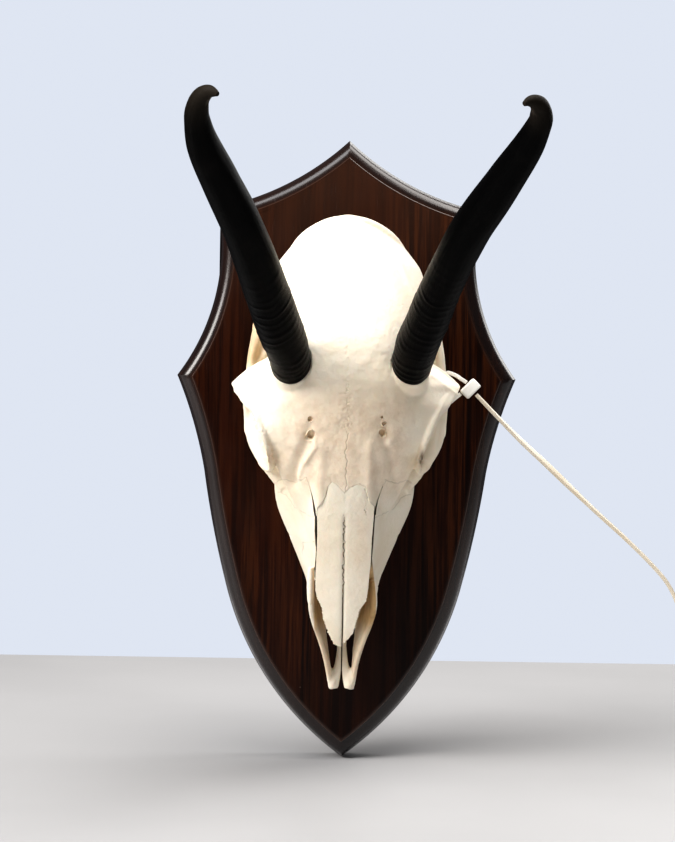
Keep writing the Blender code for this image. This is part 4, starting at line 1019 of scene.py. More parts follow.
def face_forms(x, z, h, front):
    """Push that makes the grooves, lips, ridges and hollows of forehead and cheeks."""
    ax = np.abs(x)
    facing = ramp(front, 0.25, 0.6)
    outer = facing * ramp(h, 26, 34)
    push = np.zeros(len(x))
    for points, width, height in LINE_FORMS:
        push += height * hump(line_distance(x, z, points), width) * outer
    for at_x, at_z, width, height in SPOT_FORMS:
        push += height * hump(np.hypot(x - at_x, z - at_z), width) * outer
    for (at_x, at_z, _), _, across, _ in FOREHEAD_HOLES:
        push -= 0.2 * hump(np.hypot(x - at_x - 0.3, z - at_z), across * 2.4) * outer
    temporal = hump(line_distance(ax, z, TEMPORAL_LINE), 1.3) * ramp(front, 0.1, 0.4) * ramp(z, 24, 30)
    crumbled = np.abs(rough(x, z, h, 1.1, 7)) * hump(x, 3.2) * between(z, 6, 10, 24, 30) * outer
    tear_hollow = hump(np.hypot((ax - 30.5) / 1.2, z + 3.5), 3.2) * facing * ramp(h, 54, 58)
    cheek_hollow = hump(np.hypot(ax - 23.5, z + 16.0), 4.5) * outer
    push += 0.5 * temporal - 0.5 * crumbled - 1.1 * tear_hollow - 0.8 * cheek_hollow
    return push + corner_facet(x, z, h, front)


def bone_grain(x, z, h, front):
    """Push that makes the bone's surface uneven, most on the forehead and the plates' edges."""
    ax = np.abs(x)
    facing = ramp(front, 0.25, 0.6)
    forehead = facing * ramp(h, 26, 34) * between(z, -26, -14, 44, 60) * (1 - ramp(ax, 26, 34))
    cheek = ramp(ax, 27, 31) * (1 - ramp(z, -5, -1)) * (1 - ramp(h, 44, 50))
    push = np.zeros(len(x))
    for height, size, seed, where in ((0.16, 9.0, 1, 0.3 + forehead), (0.10, 3.0, 2, 0.15 + forehead),
                                      (0.4, 1.2, 3, near_plate_edge(x, z) * facing), (0.22, 1.8, 9, cheek),
                                      (0.05, 1.3, 4, 1.0)):
        push += height * rough(x, z, h, size, seed) * where
    return push


def shape_bone(bone):
    """Give the bone its grooves, lips, ridges, sutures and grain."""
    lines = suture_lines()
    refine(bone, [line[0] for line in lines], 0.9, 2)
    x, z, h, normal = places(bone)
    front = np.clip(-normal[:, 1], 0, 1)
    push = face_forms(x, z, h, front) + bone_grain(x, z, h, front)
    seen = ramp(front, 0.25, 0.6) * ramp(h, 30, 36)
    for points, depth, width, _ in lines:
        push -= depth * hump(line_distance(x, z, points), width) * seen
    side_on = ramp(np.abs(normal[:, 0]), 0.35, 0.6)
    for seed, line in enumerate(CHEEK_LINES):
        push -= 0.3 * hump(line_distance(z, h, wiggled(line, 1.0, 0.3, 40 + seed)), 0.35) * side_on
    push_out(bone, push)
    return lines


def nose_shade_and_tan(x, z, h, depth, inward):
    """Painted shade down in the narrow fissures beside the nasal bones, and tan on their open floors and on
    the open nose's inner walls.
    """
    lining = ramp(inward, 0.1, 0.5) * ramp(-z, 44, 52) * ramp(h, 12.5, 15) * (1 - 0.75 * ramp(-z, 70, 80))
    edge = np.where(x < 0, *(np.interp(z, *zip(*FISSURE_EDGE[side])) for side in (-1, 1)))
    # painted shade: where the fissures are narrow, their depths are darkened as the shade down there
    well = ramp(depth, 0.9, 1.6) * ramp(-z, 21, 24) * (1 - ramp(np.abs(x) - edge, 0.1, 0.3)) * ramp(h, 13, 16)
    open_part = np.where(x < 0, ramp(-z, 57, 62), ramp(-z, 43, 49))
    tan = np.maximum(0.6 * lining, well * open_part * (1 - 0.6 * ramp(-z, 70, 80)))
    return well * (1 - open_part), tan


def hole_tan(x, z, h, depth):
    """Tan inside the holes of the forehead."""
    made = np.zeros(len(x))
    for (at_x, at_z, _), _, across, _ in FOREHEAD_HOLES:
        spot = hump(np.hypot(x - at_x, z - at_z - 0.6), across * 1.4)
        made = np.maximum(made, 0.6 * spot * ramp(depth, 0.9, 2.2) * (h > 60))
    return made


def socket_painted_shade(x, z, h, normal, inward, facing):
    """Painted tan shade in the eye sockets, the hollows before them and the root of the viewer-left arch."""
    ax = np.abs(x)
    off = ORBIT_CENTRE - Vector((8, 0, 0))
    reach = np.sqrt(((ax - off.x) / 19) ** 2 + ((z - off.y) / 17.5) ** 2 + ((h - off.z) / 16.5) ** 2)
    socket = (1 - ramp(reach, 0.93, 1.08)) * ramp(inward + 1.2 * (normal[:, 1] > -0.3), 0, 0.4)
    root = ramp(z, 30, 38) * ramp(ax, 33.5, 36) * (1 - ramp(h, 44, 50)) * (x < 0)
    hollow = hump(np.hypot((ax - 30.5) / 1.3, z + 4.5), 4.5) * facing * ramp(h, 50, 56)
    return np.maximum.reduce([0.25 * socket, 0.7 * root, 0.4 * hollow])


def stain_and_shade_bone(bone, lines):
    """Paint where the bone is dirty, tan and mottled, and the painted shade in its fissures, tear slit and
    sockets, as one colour value a point.
    """
    x, z, h, normal = places(bone)
    facing = ramp(np.clip(-normal[:, 1], 0, 1), 0.2, 0.5)
    inward = -normal[:, 0] * np.sign(x)
    depth = np.interp(z, *zip(*MIDLINE)) - h
    # painted shade: the tear slit is darkened as the shade inside it
    slit = hump(np.hypot((x - 31.0) / 1.1, (z + 2.6) / 3.2), 1.0) * ramp(h, 38, 42)
    pits = np.clip(rough(x, z, h, 1.3, 12) - 0.2, 0, 0.5) * near_plate_edge(x, z) * facing
    fissure_shade, nose_tan = nose_shade_and_tan(x, z, h, depth, inward)
    # painted shade of the fissures and the tear slit, with dirt in the pits and the sutures
    dirt_and_shade = np.maximum.reduce([fissure_shade, slit, 0.5 * pits])
    for points, _, width, darkness in lines:
        line = hump(line_distance(x, z, points), width * 1.3) * facing * ramp(h, 30, 36)
        dirt_and_shade = np.maximum(dirt_and_shade, darkness * line)
    # tan also carries the painted tan shade of the sockets
    tan = np.maximum.reduce([nose_tan, hole_tan(x, z, h, depth), socket_painted_shade(x, z, h, normal, inward, facing)])
    forehead = between(z, -24, -10, 16, 32) * (1 - ramp(np.abs(x), 20, 31))
    nose = hump(np.hypot((x + 22) / 5.5, (z + 19) / 9), 1.0)
    paint(bone, "stain_and_shade", dirt_and_shade, tan, np.maximum(forehead, 0.7 * nose) * facing)


def finish_nasal(plate, side):
    """Subtle relief on a nasal bone, and its stains, with painted tan shade on its underside."""
    x, z, h, normal = places(plate)
    front = ramp(np.clip(-normal[:, 1], 0, 1), 0.3, 0.7)
    push = 0.10 * rough(x, z, h, 7.0, 6 + side) * front
    push += 0.05 * rough(x, z, h, 1.5, 8 + side)
    push -= 0.25 * hump(x, 0.9) * front * ramp(-z, 24, 30)
    push_out(plate, push)
    # painted shade: faces turned away from the front are painted tan
    under = 1 - ramp(-normal[:, 1], -0.2, 0.3)
    seam = hump(np.abs(x) - 0.1, 0.4) * ramp(-z, 24, 30)
    grey = hump(np.hypot((x - 7) / 4.0, (z + 36) / 15), 1.0) * front * (side > 0)
    paint(plate, "stain_and_shade", 0.6 * seam, 0.7 * under, 0.75 * grey)


# Teeth

def lobe_outline(long, wide, size):
    """The crescent-backed outline of one tooth lobe, as (along the row, across it) offsets."""
    made = []
    for angle in circle(30):
        rib = 0.09 * math.cos(3 * angle) * max(math.cos(angle), 0)
        across = wide * 0.5 * size * (math.cos(angle) + rib)
        along = long * 0.55 * size * math.copysign(abs(math.sin(angle)) ** 0.85, math.sin(angle))
        made.append((along, across))
    return made


def tooth_lobe(side, centre, long, wide):
    """One ridged lobe of a cheek tooth, from its tip to its root."""
    x = smooth_value(TOOTH_ROW_X, centre)
    rings = []
    for height, size in TOOTH_PROFILE:
        ring = []
        for along, across in lobe_outline(long, wide, size):
            ring.append(world(side * (x + across) + SKULL_X, centre + along, height))
        rings.append(ring)
    return loft("lobe", rings)


def make_teeth():
    """Both rows of ridged cheek teeth, sunk in the upper jaw."""
    made = []
    for side in (-1, 1):
        z = TOOTH_ROW_START
        for index, (long, wide) in enumerate(TEETH):
            lobes = 1 if index < SINGLE_TEETH else 2
            for lobe in range(lobes):
                made.append(tooth_lobe(side, z + long * (lobe + 0.5) / lobes, long / lobes, wide))
            z += long
    return fused(joined("teeth", made), TOOTH_VOXEL, TOOTH_SMOOTHING)


# Horns

def horn_path(points, spots):
    """Centre points and lateral half widths at the given distances along a horn."""
    values = along_path(points, spots)
    return [Vector(v[:3]) for v in values], [v[3] / 2 for v in values]


def horn_rings(seed):
    """Places, strengths and widths of the rings, which fade away up the horn."""
    draw = random.Random(seed)
    made = []
    place = RING_FIRST
    while place < HORN_RINGED:
        fade = (1 - place / HORN_RINGED) ** 0.6
        made.append((place, fade * draw.uniform(*RING_STRENGTH), draw.uniform(*RING_WIDTH)))
        place += draw.uniform(*RING_GAP)
    return made


def make_horn(name, points, seed):
    """A horn sheath with uneven rings, fine fibres and a worn hooked tip."""
    length = reaches(points)[-1]
    spots = stations(0, length, HORN_STEP)
    path, halves = horn_path(points, spots)
    marks = horn_rings(seed)
    rings = []
    grain = []
    for n, (centre, half, spot) in enumerate(zip(path, halves, spots)):
        along = direction(path, n)
        across = along.cross(Vector((0, 1, 0))).normalized()
        lift = across.cross(along).normalized()
        if n == 0:
            centre = centre + horn_axis(points) * HORN_LIFT
        lip = 1 - 0.9 * max(1 - spot / 1.4, 0) ** 2 / half
        ring = []
        for angle in circle(HORN_SIDES):
            radius = (half - 0.05 + horn_relief(spot, angle, marks, seed, length)) * lip
            place = centre + across * (radius * math.cos(angle))
            ring.append(world(*(place + lift * (radius * HORN_DEPTH_RATIO * math.sin(angle)))))
            grain.append((math.cos(angle), math.sin(angle), spot / length))
        rings.append(ring)
    made = loft(name, rings)
    layer = made.data.attributes.new("grain", "FLOAT_VECTOR", "POINT")
    layer.data.foreach_set("vector", np.array(grain, dtype=np.float32).ravel())
    return made


def horn_relief(spot, angle, marks, seed, length):
    """Height of rings, dents and fibres at one place on a horn."""
    around = Vector((math.cos(angle), math.sin(angle), 0))
    height = 0.0
    if spot < HORN_RINGED + 6:
        tilt = 1.0 * math.sin(angle) + 0.6 * math.cos(angle * 2 + seed)
        bend = 1.2 * noise.noise(around * 1.4 + Vector((0, 0, spot * 0.06 + seed)))
        for place, strength, width in marks:
            off = (spot - place + tilt + bend) / width
            if abs(off) < 3:
                patchy = 0.6 + 1.2 * noise.noise(around * 1.2 + Vector((0, 0, place * 3.1 + seed)))
                shelf = math.exp(-off * off) if off > 0 else math.exp(-off * off * 0.35)
                height += RING_HEIGHT * strength * max(patchy, 0.1) * shelf
        height -= 0.12 * max(1 - spot / HORN_RINGED, 0)
    wear = noise.noise(around * 1.6 + Vector((0, 0, spot * 0.06 + 7 + seed)))
    fibre = noise.noise(around * 9 + Vector((0, 0, spot * 0.03 + seed)))
    thin = min(max((length - spot) / 25, 0.15), 1)
    return height + (0.22 * wear + 0.06 * fibre) * thin - 0.14


# Shield

def shield_ring(depth, fine):
    """The shield's outline moved inwards by a depth, clockwise from the upper point."""
    corners = [Vector(p) for p in ((0, SHIELD_TOP_Z), SHIELD_CORNER, SHIELD_HORN, SHIELD_WAIST, SHIELD_HIP,
                                   (0, SHIELD_BOTTOM_Z))]
    inward = []
    for start, end, bulge in zip(corners, corners[1:], SHIELD_BULGE):
        centre, radius = arc_centre(start, end, bulge)
        inward.append(((start - centre) / radius, (end - centre) / radius))
    flipped = [tuple(Vector((-n.x, n.y)) for n in inward[k]) for k in (0, -1)]
    before = [flipped[0][0]] + [pair[1] for pair in inward]
    after = [pair[0] for pair in inward] + [flipped[1][1]]
    moved = []
    for corner, one, other in zip(corners, before, after):
        middle = (one + other).normalized()
        moved.append(corner + middle * (depth / middle.dot(one)))
    right = []
    for n, (bulge, steps) in enumerate(zip(SHIELD_BULGE, SHIELD_STEPS)):
        radius = arc_centre(corners[n], corners[n + 1], bulge)[1] + depth
        half = (moved[n + 1] - moved[n]).length / 2
        sunk = radius - math.copysign(math.sqrt(radius ** 2 - half ** 2), radius)
        right += arc(moved[n], moved[n + 1], sunk, steps * fine)
    left = [Vector((-p.x, p.y)) for p in right[1:]]
    return right + [moved[-1]] + left[::-1]


def mould_profile():
    """The moulded edge as (distance in from the outline, height above the back)."""
    step = SHIELD_THICK - MOULD_STEP
    shoulder = step - MOULD_DROP
    made = [(0.35, 0.0), (0.0, 0.35), (0.0, shoulder * 0.5), (0.0, shoulder - 0.3), (0.12, shoulder)]
    for n in range(1, 13):
        angle = math.radians(90 * n / 12)
        across = 0.5 + (MOULD_WIDTH - 0.8) * (1 - math.cos(angle))
        made.append((across, shoulder + MOULD_DROP * math.sin(angle)))
    for width, height in ((-0.1, step + 0.02), (0, step + 0.2), (0.05, SHIELD_THICK - 0.3)):
        made.append((MOULD_WIDTH + width, height))
    return made + [(MOULD_WIDTH + width, SHIELD_THICK) for width in (0.3, 0.8, 1.3, 1.9)]


def make_shield():
    """Board with a rounded edge and a small step inside it, pocketed for hanger and screws."""
    rings = []
    for depth, height in mould_profile():
        rings.append([Vector((p.x, -height, p.y)) * MM for p in shield_ring(depth, 6)])
    board = loft("shield_board", rings)
    across, up = (size / 2 + FIXING_PLAY for size in HANGER_SIZE)
    cuts = [box("pocket", (-across, HANGER_Z - up, -SHIELD_THICK - 5),
                (across, HANGER_Z + up, HANGER_POCKET_DEPTH - SHIELD_THICK))]
    radius = SCREW_HEAD_RADIUS + FIXING_PLAY
    for z in SCREW_Z:
        rings = []
        for depth in (-5, SCREW_HEAD_DEPTH + FIXING_PLAY):
            round_part = [(radius * math.cos(angle), z + radius * math.sin(angle)) for angle in circle(48)]
            rings.append([Vector((x, -depth, up_z)) * MM for x, up_z in round_part])
        cuts.append(loft("sink", rings))
    cut(board, cuts)
    mark_rim(board)
    return board


def mark_rim(board):
    """Note how near each point of the board is to its moulded edge, for its darker stain, and to the step,
    for a lighter line that is wear and partly a painted highlight.
    """
    co = point_arrays(board)[0] / MM
    outline = [(p.x, p.y) for p in shield_ring(0, 1)]
    away = line_distance(co[:, 0], co[:, 2], outline + [outline[0]])
    rim = 1 - ramp(away, MOULD_WIDTH - 0.2, MOULD_WIDTH + 1.5)
    step = hump(away - MOULD_WIDTH - 0.2, 0.5) * (-co[:, 1] > SHIELD_THICK - 1.5)
    paint(board, "edge", rim, step, np.zeros(len(rim)))


# Cable tie

def strap_frame(points, twist, n):
    """Width axis and depth axis of a strap at one of its points, turned by a twist in degrees."""
    along = direction(points, n)
    level = along.cross(Vector((0, 0, 1))).normalized()
    rise = level.cross(along).normalized()
    wide = rise * math.cos(math.radians(twist)) + level * math.sin(math.radians(twist))
    return wide, wide.cross(along).normalized()


def strap(name, points, widths, twists, ribbed):
    """A flat strap with rounded edges; where ribbed, a ladder of fine teeth is moulded on one face."""
    flat = TIE_THICK / 2 - 0.02
    slim = TIE_THICK / 2 - 0.12
    rings = []
    for n, point in enumerate(points):
        wide, deep = strap_frame(points, twists[n], n)
        half = widths[n] / 2
        outer = half - 0.18
        inner = half - 0.5
        lip = half * 0.6
        face = (0.12 if ribbed and n % 2 else 0.0) - TIE_THICK / 2
        section = ((-half, 0), (-outer, slim), (-inner, flat), (inner, flat), (outer, slim), (half, 0),
                   (outer, -slim), (inner, -flat), (lip, face), (-lip, face), (-inner, -flat),
                   (-outer, -slim))
        rings.append([world(*(point + wide * a + deep * b)) for a, b in section])
    return loft(name, rings)


def make_tie_loop():
    """The band round the postorbital bar, which starts and ends at the head."""
    count = TIE_LOOP_ROWS
    return strap("cable_tie_loop", smooth_path(TIE_LOOP, count), [TIE_WIDTH] * count, [0] * count, True)


def make_tie_head():
    """The ratchet block of the tie, with rounded corners."""
    bm = bmesh.new()
    bmesh.ops.create_cube(bm, size=1.0)
    spin = Matrix.Rotation(math.radians(-45), 3, "Z")
    for vert in bm.verts:
        vert.co = world(*(TIE_HEAD_AT + spin @ (vert.co * Vector(TIE_HEAD))))
    bmesh.ops.bevel(bm, geom=bm.edges[:], offset=0.8 * MM, segments=5, profile=0.6, affect="EDGES")
    return finish_mesh("cable_tie_head", bm)


def make_tie_tail():
    """The free end of the strap, stiff enough to stand out by itself, with a tapered tip."""
    path = smooth_path(TIE_TAIL, TIE_TAIL_ROWS)
    twists = [smooth_value(TIE_TAIL_TWIST, reach) for reach in reaches(path)]
    widths = [TIE_WIDTH] * (TIE_TAIL_ROWS - TIE_TAIL_TAPERED)
    widths += [TIE_WIDTH - 1.6 * (n / (TIE_TAIL_TAPERED - 1)) ** 1.5 for n in range(TIE_TAIL_TAPERED)]
    return strap("cable_tie_tail", path, widths, twists, False)


# Materials

class Nodes:
    """Builds one material's node tree with short calls."""

    def __init__(self, name, settings):
        self.material = bpy.data.materials.new(name)
        self.material.use_nodes = True
        self.tree = self.material.node_tree
        self.shader = self.tree.nodes["Principled BSDF"]
        for socket, value in settings.items():
            self.shader.inputs[socket].default_value = value
        self.place = self.new("TexCoord").outputs["Object"]

    def new(self, kind):
        return self.tree.nodes.new("ShaderNode" + kind)

    def link(self, source, target):
        self.tree.links.new(source, target)

    def fill(self, socket, value):
        if isinstance(value, tuple):
            socket.default_value = (*value, 1.0)
        elif isinstance(value, (int, float)):
            socket.default_value = value
        else:
            self.link(value, socket)

    def attribute(self, name):
        node = self.new("Attribute")
        node.attribute_name = name
        return node.outputs

    def colours(self, colour):
        node = self.new("SeparateColor")
        self.link(colour, node.inputs["Color"])
        return node.outputs

    def axes(self, vector):
        node = self.new("SeparateXYZ")
        self.link(vector, node.inputs["Vector"])
        return node.outputs

    def stretched(self, vector, scale):
        node = self.new("Mapping")
        self.link(vector, node.inputs["Vector"])
        node.inputs["Scale"].default_value = scale
        return node.outputs["Vector"]

    def noise(self, scale, detail=3.0, rough=0.55, vector=None, warp=0.0):
        node = self.new("TexNoise")
        self.link(vector or self.place, node.inputs["Vector"])
        for name, value in (("Scale", scale), ("Detail", detail), ("Roughness", rough), ("Distortion", warp)):
            node.inputs[name].default_value = value
        return node.outputs["Fac"]

    def cells(self, scale, vector=None):
        node = self.new("TexVoronoi")
        self.link(vector or self.place, node.inputs["Vector"])
        node.inputs["Scale"].default_value = scale
        return node.outputs["Distance"]

    def range(self, value, low, high, to_low=0.0, to_high=1.0):
        node = self.new("MapRange")
        node.interpolation_type = "SMOOTHSTEP"
        self.link(value, node.inputs["Value"])
        for name, number in (("From Min", low), ("From Max", high), ("To Min", to_low), ("To Max", to_high)):
            node.inputs[name].default_value = number
        return node.outputs["Result"]

    def math(self, operation, first, second):
        node = self.new("Math")
        node.operation = operation
        self.fill(node.inputs[0], first)
        self.fill(node.inputs[1], second)
        return node.outputs["Value"]

    def times(self, first, second):
        return self.math("MULTIPLY", first, second)

    def plus(self, first, second):
        return self.math("ADD", first, second)

    def mix(self, factor, first, second):
        node = self.new("Mix")
        node.data_type = "RGBA"
        for index, value in ((0, factor), (6, first), (7, second)):
            self.fill(node.inputs[index], value)
        return node.outputs[2]

    def bump(self, height, distance, strength=1.0, under=None):
        node = self.new("Bump")
        node.inputs["Strength"].default_value = strength
        node.inputs["Distance"].default_value = distance
        self.link(height, node.inputs["Height"])
        if under is not None:
            self.link(under, node.inputs["Normal"])
        return node.outputs["Normal"]

    def done(self, colour, roughness=None, normal=None):
        for name, source in (("Base Color", colour), ("Roughness", roughness), ("Normal", normal)):
            if source is not None:
                self.link(source, self.shader.inputs[name])
        return self.material


def bone_material():
    """Dry bleached bone: cream, faintly mottled, tan inside, brown in its sutures and holes, with painted
    shade darkening its fissures and tear slit and painted tan shade in its sockets and under the nasal bones.
    """
    n = Nodes("bone_surface", {"Roughness": 0.6, "Specular IOR Level": 0.3, "Subsurface Weight": 0.1,
                               "Subsurface Scale": 0.002})
    stain_and_shade = n.colours(n.attribute("stain_and_shade")["Color"])
    dirt_and_shade, tan, pink = stain_and_shade["Red"], stain_and_shade["Green"], stain_and_shade["Blue"]
    cream = n.mix(n.range(n.noise(38, 4), 0.35, 0.7), (0.87, 0.80, 0.67), (0.82, 0.725, 0.57))
    rosy = n.mix(n.range(n.noise(210, 5, 0.6), 0.42, 0.62), (0.80, 0.665, 0.51), (0.70, 0.555, 0.41))
    inner = n.mix(n.range(n.noise(160, 3), 0.35, 0.65), (0.62, 0.42, 0.20), (0.46, 0.30, 0.14))
    # tan also paints shade in the sockets and under the nasal bones
    base = n.mix(tan, n.mix(n.times(pink, 0.7), cream, rosy), inner)
    porous = n.times(n.range(n.noise(90, 2), 0.45, 0.62), n.plus(n.times(pink, 0.7), 0.12))
    pores = n.times(n.range(n.cells(1150), 0.02, 0.17, 1.0, 0.0), porous)
    base = n.mix(n.times(pores, 0.5), base, (0.34, 0.23, 0.14))
    # dark brown: dirt in the sutures and pits, and painted shade in the fissures and the tear slit
    base = n.mix(n.times(dirt_and_shade, 0.9), base, (0.075, 0.045, 0.022))
    grain = n.bump(n.noise(900, 4, 0.6), 0.00018, 0.5)
    normal = n.bump(n.times(pores, -1.0), 0.0003, 0.6, grain)
    return n.done(base, n.range(n.noise(120, 2), 0.3, 0.7, 0.52, 0.7), normal)


def enamel_material():
    """Tooth enamel: smooth and pale, with brown streaks from tip to root."""
    n = Nodes("tooth_enamel", {"Roughness": 0.3})
    streak = n.noise(500, 3, 0.6, n.stretched(n.place, (1, 0.25, 1)))
    colour = n.mix(n.range(streak, 0.4, 0.66), (0.72, 0.62, 0.46), (0.40, 0.27, 0.15))
    return n.done(colour, None, n.bump(streak, 0.0002, 0.4))


def horn_material():
    """Horn: near black with a satin sheen and fine fibres along it, paler towards the tip."""
    n = Nodes("horn_sheath", {"Specular IOR Level": 0.03})
    grain = n.attribute("grain")["Vector"]
    fibre = n.noise(6, 5, 0.6, n.stretched(grain, (4.5, 4.5, 5.0)))
    fine = n.noise(14, 3, 0.6, n.stretched(grain, (6, 6, 9)))
    tip = n.range(n.axes(grain)["Z"], 0.86, 1.0)
    worn = n.range(n.noise(70, 3), 0.52, 0.75)
    base = n.mix(n.range(fibre, 0.35, 0.7), (0.0009, 0.0009, 0.0010), (0.0024, 0.0022, 0.0021))
    base = n.mix(n.times(worn, 0.3), base, (0.009, 0.008, 0.007))
    base = n.mix(n.times(tip, 0.7), base, (0.030, 0.024, 0.018))
    normal = n.bump(fine, 0.00012, 0.45, n.bump(fibre, 0.0003, 0.4))
    return n.done(base, n.range(fine, 0.3, 0.7, 0.28, 0.44), normal)


def wood_material(name, edge_layer):
    """Dark red-brown hardwood with upright grain and open pores, with painted light making it paler at the
    top and painted shade darker at the bottom, varnished on its edge.
    """
    n = Nodes(name, {"Specular IOR Level": 0.08, "Coat Roughness": 0.24})
    fine = n.noise(420, 4, 0.6, n.stretched(n.place, (1.0, 1.0, 0.03)), 0.3)
    wide = n.noise(120, 3, 0.5, n.stretched(n.place, (1.0, 1.0, 0.045)), 0.4)
    patch = n.noise(26, 2, 0.5, n.stretched(n.place, (1.0, 1.0, 0.3)))
    height = n.axes(n.place)["Z"]
    deep = n.mix(n.range(wide, 0.38, 0.62), (0.0070, 0.0016, 0.0007), (0.019, 0.0042, 0.0013))
    warm = n.mix(n.range(fine, 0.44, 0.62), deep, (0.048, 0.0135, 0.0038))
    base = n.mix(n.range(patch, 0.40, 0.60, 0.25, 1.0), deep, warm)
    base = n.mix(n.times(n.range(fine, 0.34, 0.46, 1.0, 0.0), 0.55), base, (0.0028, 0.0009, 0.0005))
    # painted light and shade: paler towards the top and darker towards the bottom, as under light from above
    base = n.mix(n.range(height, 0.03, 0.14, 0.0, 0.45), base, (0.060, 0.028, 0.017))
    base = n.mix(n.range(height, -0.14, -0.02, 0.4, 0.0), base, (0.0030, 0.0010, 0.0006))
    if edge_layer:
        edge = n.colours(n.attribute("edge")["Color"])
        base = n.mix(n.times(edge["Red"], 0.8), base, (0.0080, 0.0040, 0.0034))
        # the step's lighter line: wear, and partly a painted highlight along the step
        base = n.mix(n.times(edge["Green"], 0.4), base, (0.060, 0.022, 0.009))
        n.link(n.plus(n.times(edge["Red"], 0.92), 0.08), n.shader.inputs["Coat Weight"])
    speck = n.range(n.cells(75), 0.008, 0.016, 1.0, 0.0)
    base = n.mix(n.times(speck, 0.4), base, (0.30, 0.25, 0.2))
    pore = n.range(n.cells(900, n.stretched(n.place, (1.0, 1.0, 0.07))), 0.04, 0.2, 1.0, 0.0)
    normal = n.bump(n.times(pore, -1.0), 0.00025, 0.35, n.bump(fine, 0.0002, 0.25))
    return n.done(base, n.range(n.noise(60, 3), 0.3, 0.7, 0.3, 0.45), normal)


def nylon_material(name, clean, aged):
    """Natural nylon: milky, with slightly yellower patches."""
    n = Nodes(name, {})
    colour = n.mix(n.range(n.noise(60, 3), 0.3, 0.7), clean, aged)
    return n.done(colour, n.range(n.noise(300, 2), 0.3, 0.7, 0.3, 0.42))


def steel_material():
    """Zinc-plated steel with fine drawn lines and dull patches."""
    n = Nodes("zinc_steel", {"Metallic": 1.0})
    drawn = n.noise(600, 3, 0.5, n.stretched(n.place, (0.05, 1.0, 1.0)))
    colour = n.mix(n.range(n.noise(150, 4), 0.4, 0.65), (0.60, 0.59, 0.56), (0.38, 0.36, 0.33))
    return n.done(colour, n.range(drawn, 0.3, 0.7, 0.28, 0.48), n.bump(drawn, 0.00006, 0.3))


def floor_material():
    """Plain pale paint with a hint of mottling."""
    n = Nodes("floor_paint", {"Roughness": 0.6})
    return n.done(n.mix(n.range(n.noise(3.0, 4), 0.35, 0.65), (0.385, 0.385, 0.39), (0.35, 0.35, 0.355)))


# Putting the pieces in the scene

def dress(piece, made, sharp, nodes=()):
    """Give a piece its material and its place in the frame's table; edges over sharp degrees stay crisp."""
    piece.data.materials.clear()
    piece.data.materials.append(made)
    piece.data.shade_smooth()
    piece.data.set_sharp_from_angle(angle=math.radians(sharp))
    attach(piece, "root")
    if nodes:
        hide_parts(*nodes)


def repaint(node, made):
    """Give a CAD node that stays a finished material."""
    obj = frame["nodes"][node]
    for slot in obj.material_slots:
        slot.link = "OBJECT"
        slot.material = made


def skull_pieces():
    """Bone, nasal bones and teeth."""
    bone_look = bone_material()
    bone = make_bone()
    stain_and_shade_bone(bone, shape_bone(bone))
    dress(bone, bone_look, 75, ("cranium", "face", "premaxilla_left", "premaxilla_right",
                                        "zygomatic_left", "zygomatic_right"))
    for side, word in ((-1, "left"), (1, "right")):
        plate = nasal_plate("nasal_bone_" + word, side, 0.0, 0.0, NASAL_THICK)
        finish_nasal(plate, side)
        dress(plate, bone_look, 50, ("nasal_" + word,))
    dress(make_teeth(), enamel_material(), 60)


def other_pieces():
    """Horns, shield, fixings and cable tie."""
    horn_look = horn_material()
    for word, points, seed in (("left", HORN_LEFT, 3), ("right", HORN_RIGHT, 8)):
        dress(make_horn("horn_sheath_" + word, points, seed), horn_look, 60, ("horn_" + word,))
    dress(make_shield(), wood_material("shield_stain", True), 32, ("shield",))
    repaint("mount_block", wood_material("block_stain", False))
    steel = steel_material()
    for node in ("screw_1", "screw_2", "hanger"):
        repaint(node, steel)
    nylon = nylon_material("nylon_strap", (0.93, 0.92, 0.87), (0.88, 0.85, 0.77))
    # painted shade: the tail gets a darker, yellower copy of the strap's nylon
    shaded_tail_nylon = nylon_material("nylon_tail", (0.72, 0.65, 0.53), (0.62, 0.53, 0.39))
    dress(make_tie_loop(), nylon, 40, ("tie_loop",))
    dress(make_tie_head(), nylon, 40, ("tie_head",))
    dress(make_tie_tail(), shaded_tail_nylon, 40, ("tie_tail",))


# Stage, light and camera

def make_floor():
    """A pale floor under the shield's lower point, whose far edge is the photo's floor line."""
    low = SHIELD_LOW[2] - FLOOR_GAP
    corners = ((-FLOOR_HALF, FLOOR_NEAR), (FLOOR_HALF, FLOOR_NEAR), (FLOOR_HALF, FLOOR_FAR),
               (-FLOOR_HALF, FLOOR_FAR))
    bm = bmesh.new()
    bm.faces.new([bm.verts.new((x, y, low)) for x, y in corners])
    floor = finish_mesh("floor", bm)
    floor.data.materials.append(floor_material())


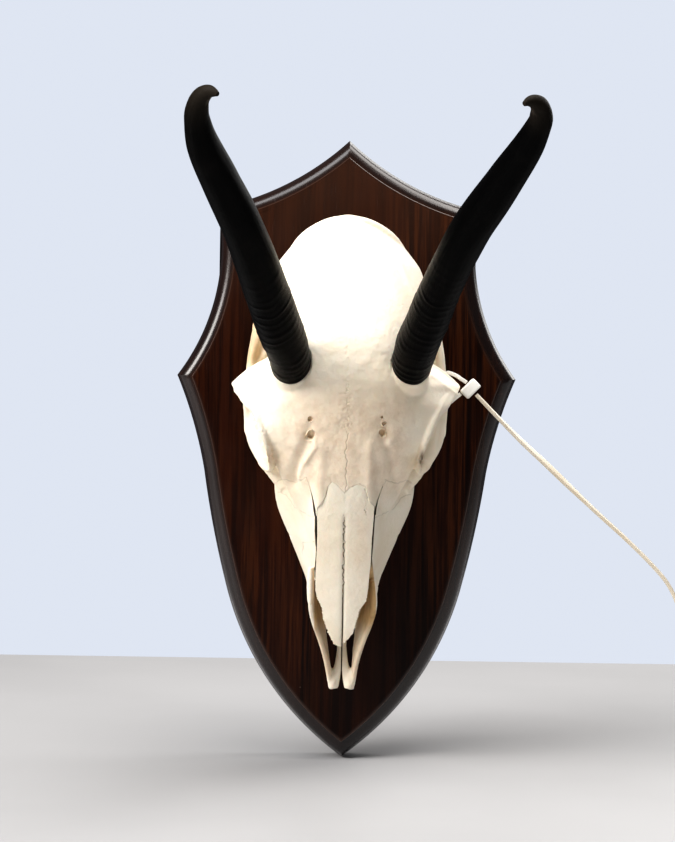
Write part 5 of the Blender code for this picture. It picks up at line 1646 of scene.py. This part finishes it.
def make_light(name, place, target, size, watts, colour):
    """One soft square light."""
    data = bpy.data.lights.new(name, "AREA")
    data.size = size
    data.energy = watts
    data.color = colour
    obj = bpy.data.objects.new(name, data)
    obj.location = place
    obj.rotation_euler = (Vector(target) - Vector(place)).to_track_quat("-Z", "Y").to_euler()
    bpy.context.scene.collection.objects.link(obj)


def make_world():
    """A pale wall colour for the view, with a dimmer all-round light."""
    world_made = bpy.data.worlds.new("studio")
    bpy.context.scene.world = world_made
    world_made.use_nodes = True
    tree = world_made.node_tree
    wall = tree.nodes["Background"]
    fill = tree.nodes.new("ShaderNodeBackground")
    for node, colour, strength in ((wall, WALL_COLOUR, 1.0), (fill, FILL_COLOUR, FILL_STRENGTH)):
        node.inputs["Color"].default_value = colour
        node.inputs["Strength"].default_value = strength
    path = tree.nodes.new("ShaderNodeLightPath")
    blend = tree.nodes.new("ShaderNodeMixShader")
    tree.links.new(path.outputs["Is Camera Ray"], blend.inputs[0])
    tree.links.new(fill.outputs[0], blend.inputs[1])
    tree.links.new(wall.outputs[0], blend.inputs[2])
    tree.links.new(blend.outputs[0], tree.nodes["World Output"].inputs["Surface"])


def make_camera():
    """The camera stands straight before the shield, turned a little about its own axis."""
    data = bpy.data.cameras.new("camera")
    data.sensor_fit = "VERTICAL"
    data.sensor_height = CAMERA_SENSOR
    data.lens = CAMERA_LENS
    data.clip_start = 0.05
    camera = bpy.data.objects.new("camera", data)
    across = math.cos(CAMERA_ROLL)
    up = math.sin(CAMERA_ROLL)
    camera.matrix_world = Matrix((
        (across, -up, 0.0, CAMERA_PLACE[0]),
        (0.0, 0.0, -1.0, CAMERA_PLACE[1]),
        (up, across, 0.0, CAMERA_PLACE[2]),
        (0.0, 0.0, 0.0, 1.0)))
    bpy.context.scene.collection.objects.link(camera)
    bpy.context.scene.camera = camera


make_camera()
skull_pieces()
other_pieces()
make_floor()
make_world()
for light_name, light_settings in LIGHTS.items():
    make_light(light_name, *light_settings)
bpy.context.scene.view_settings.view_transform = "Standard"
bpy.context.scene.view_settings.look = "Medium High Contrast"
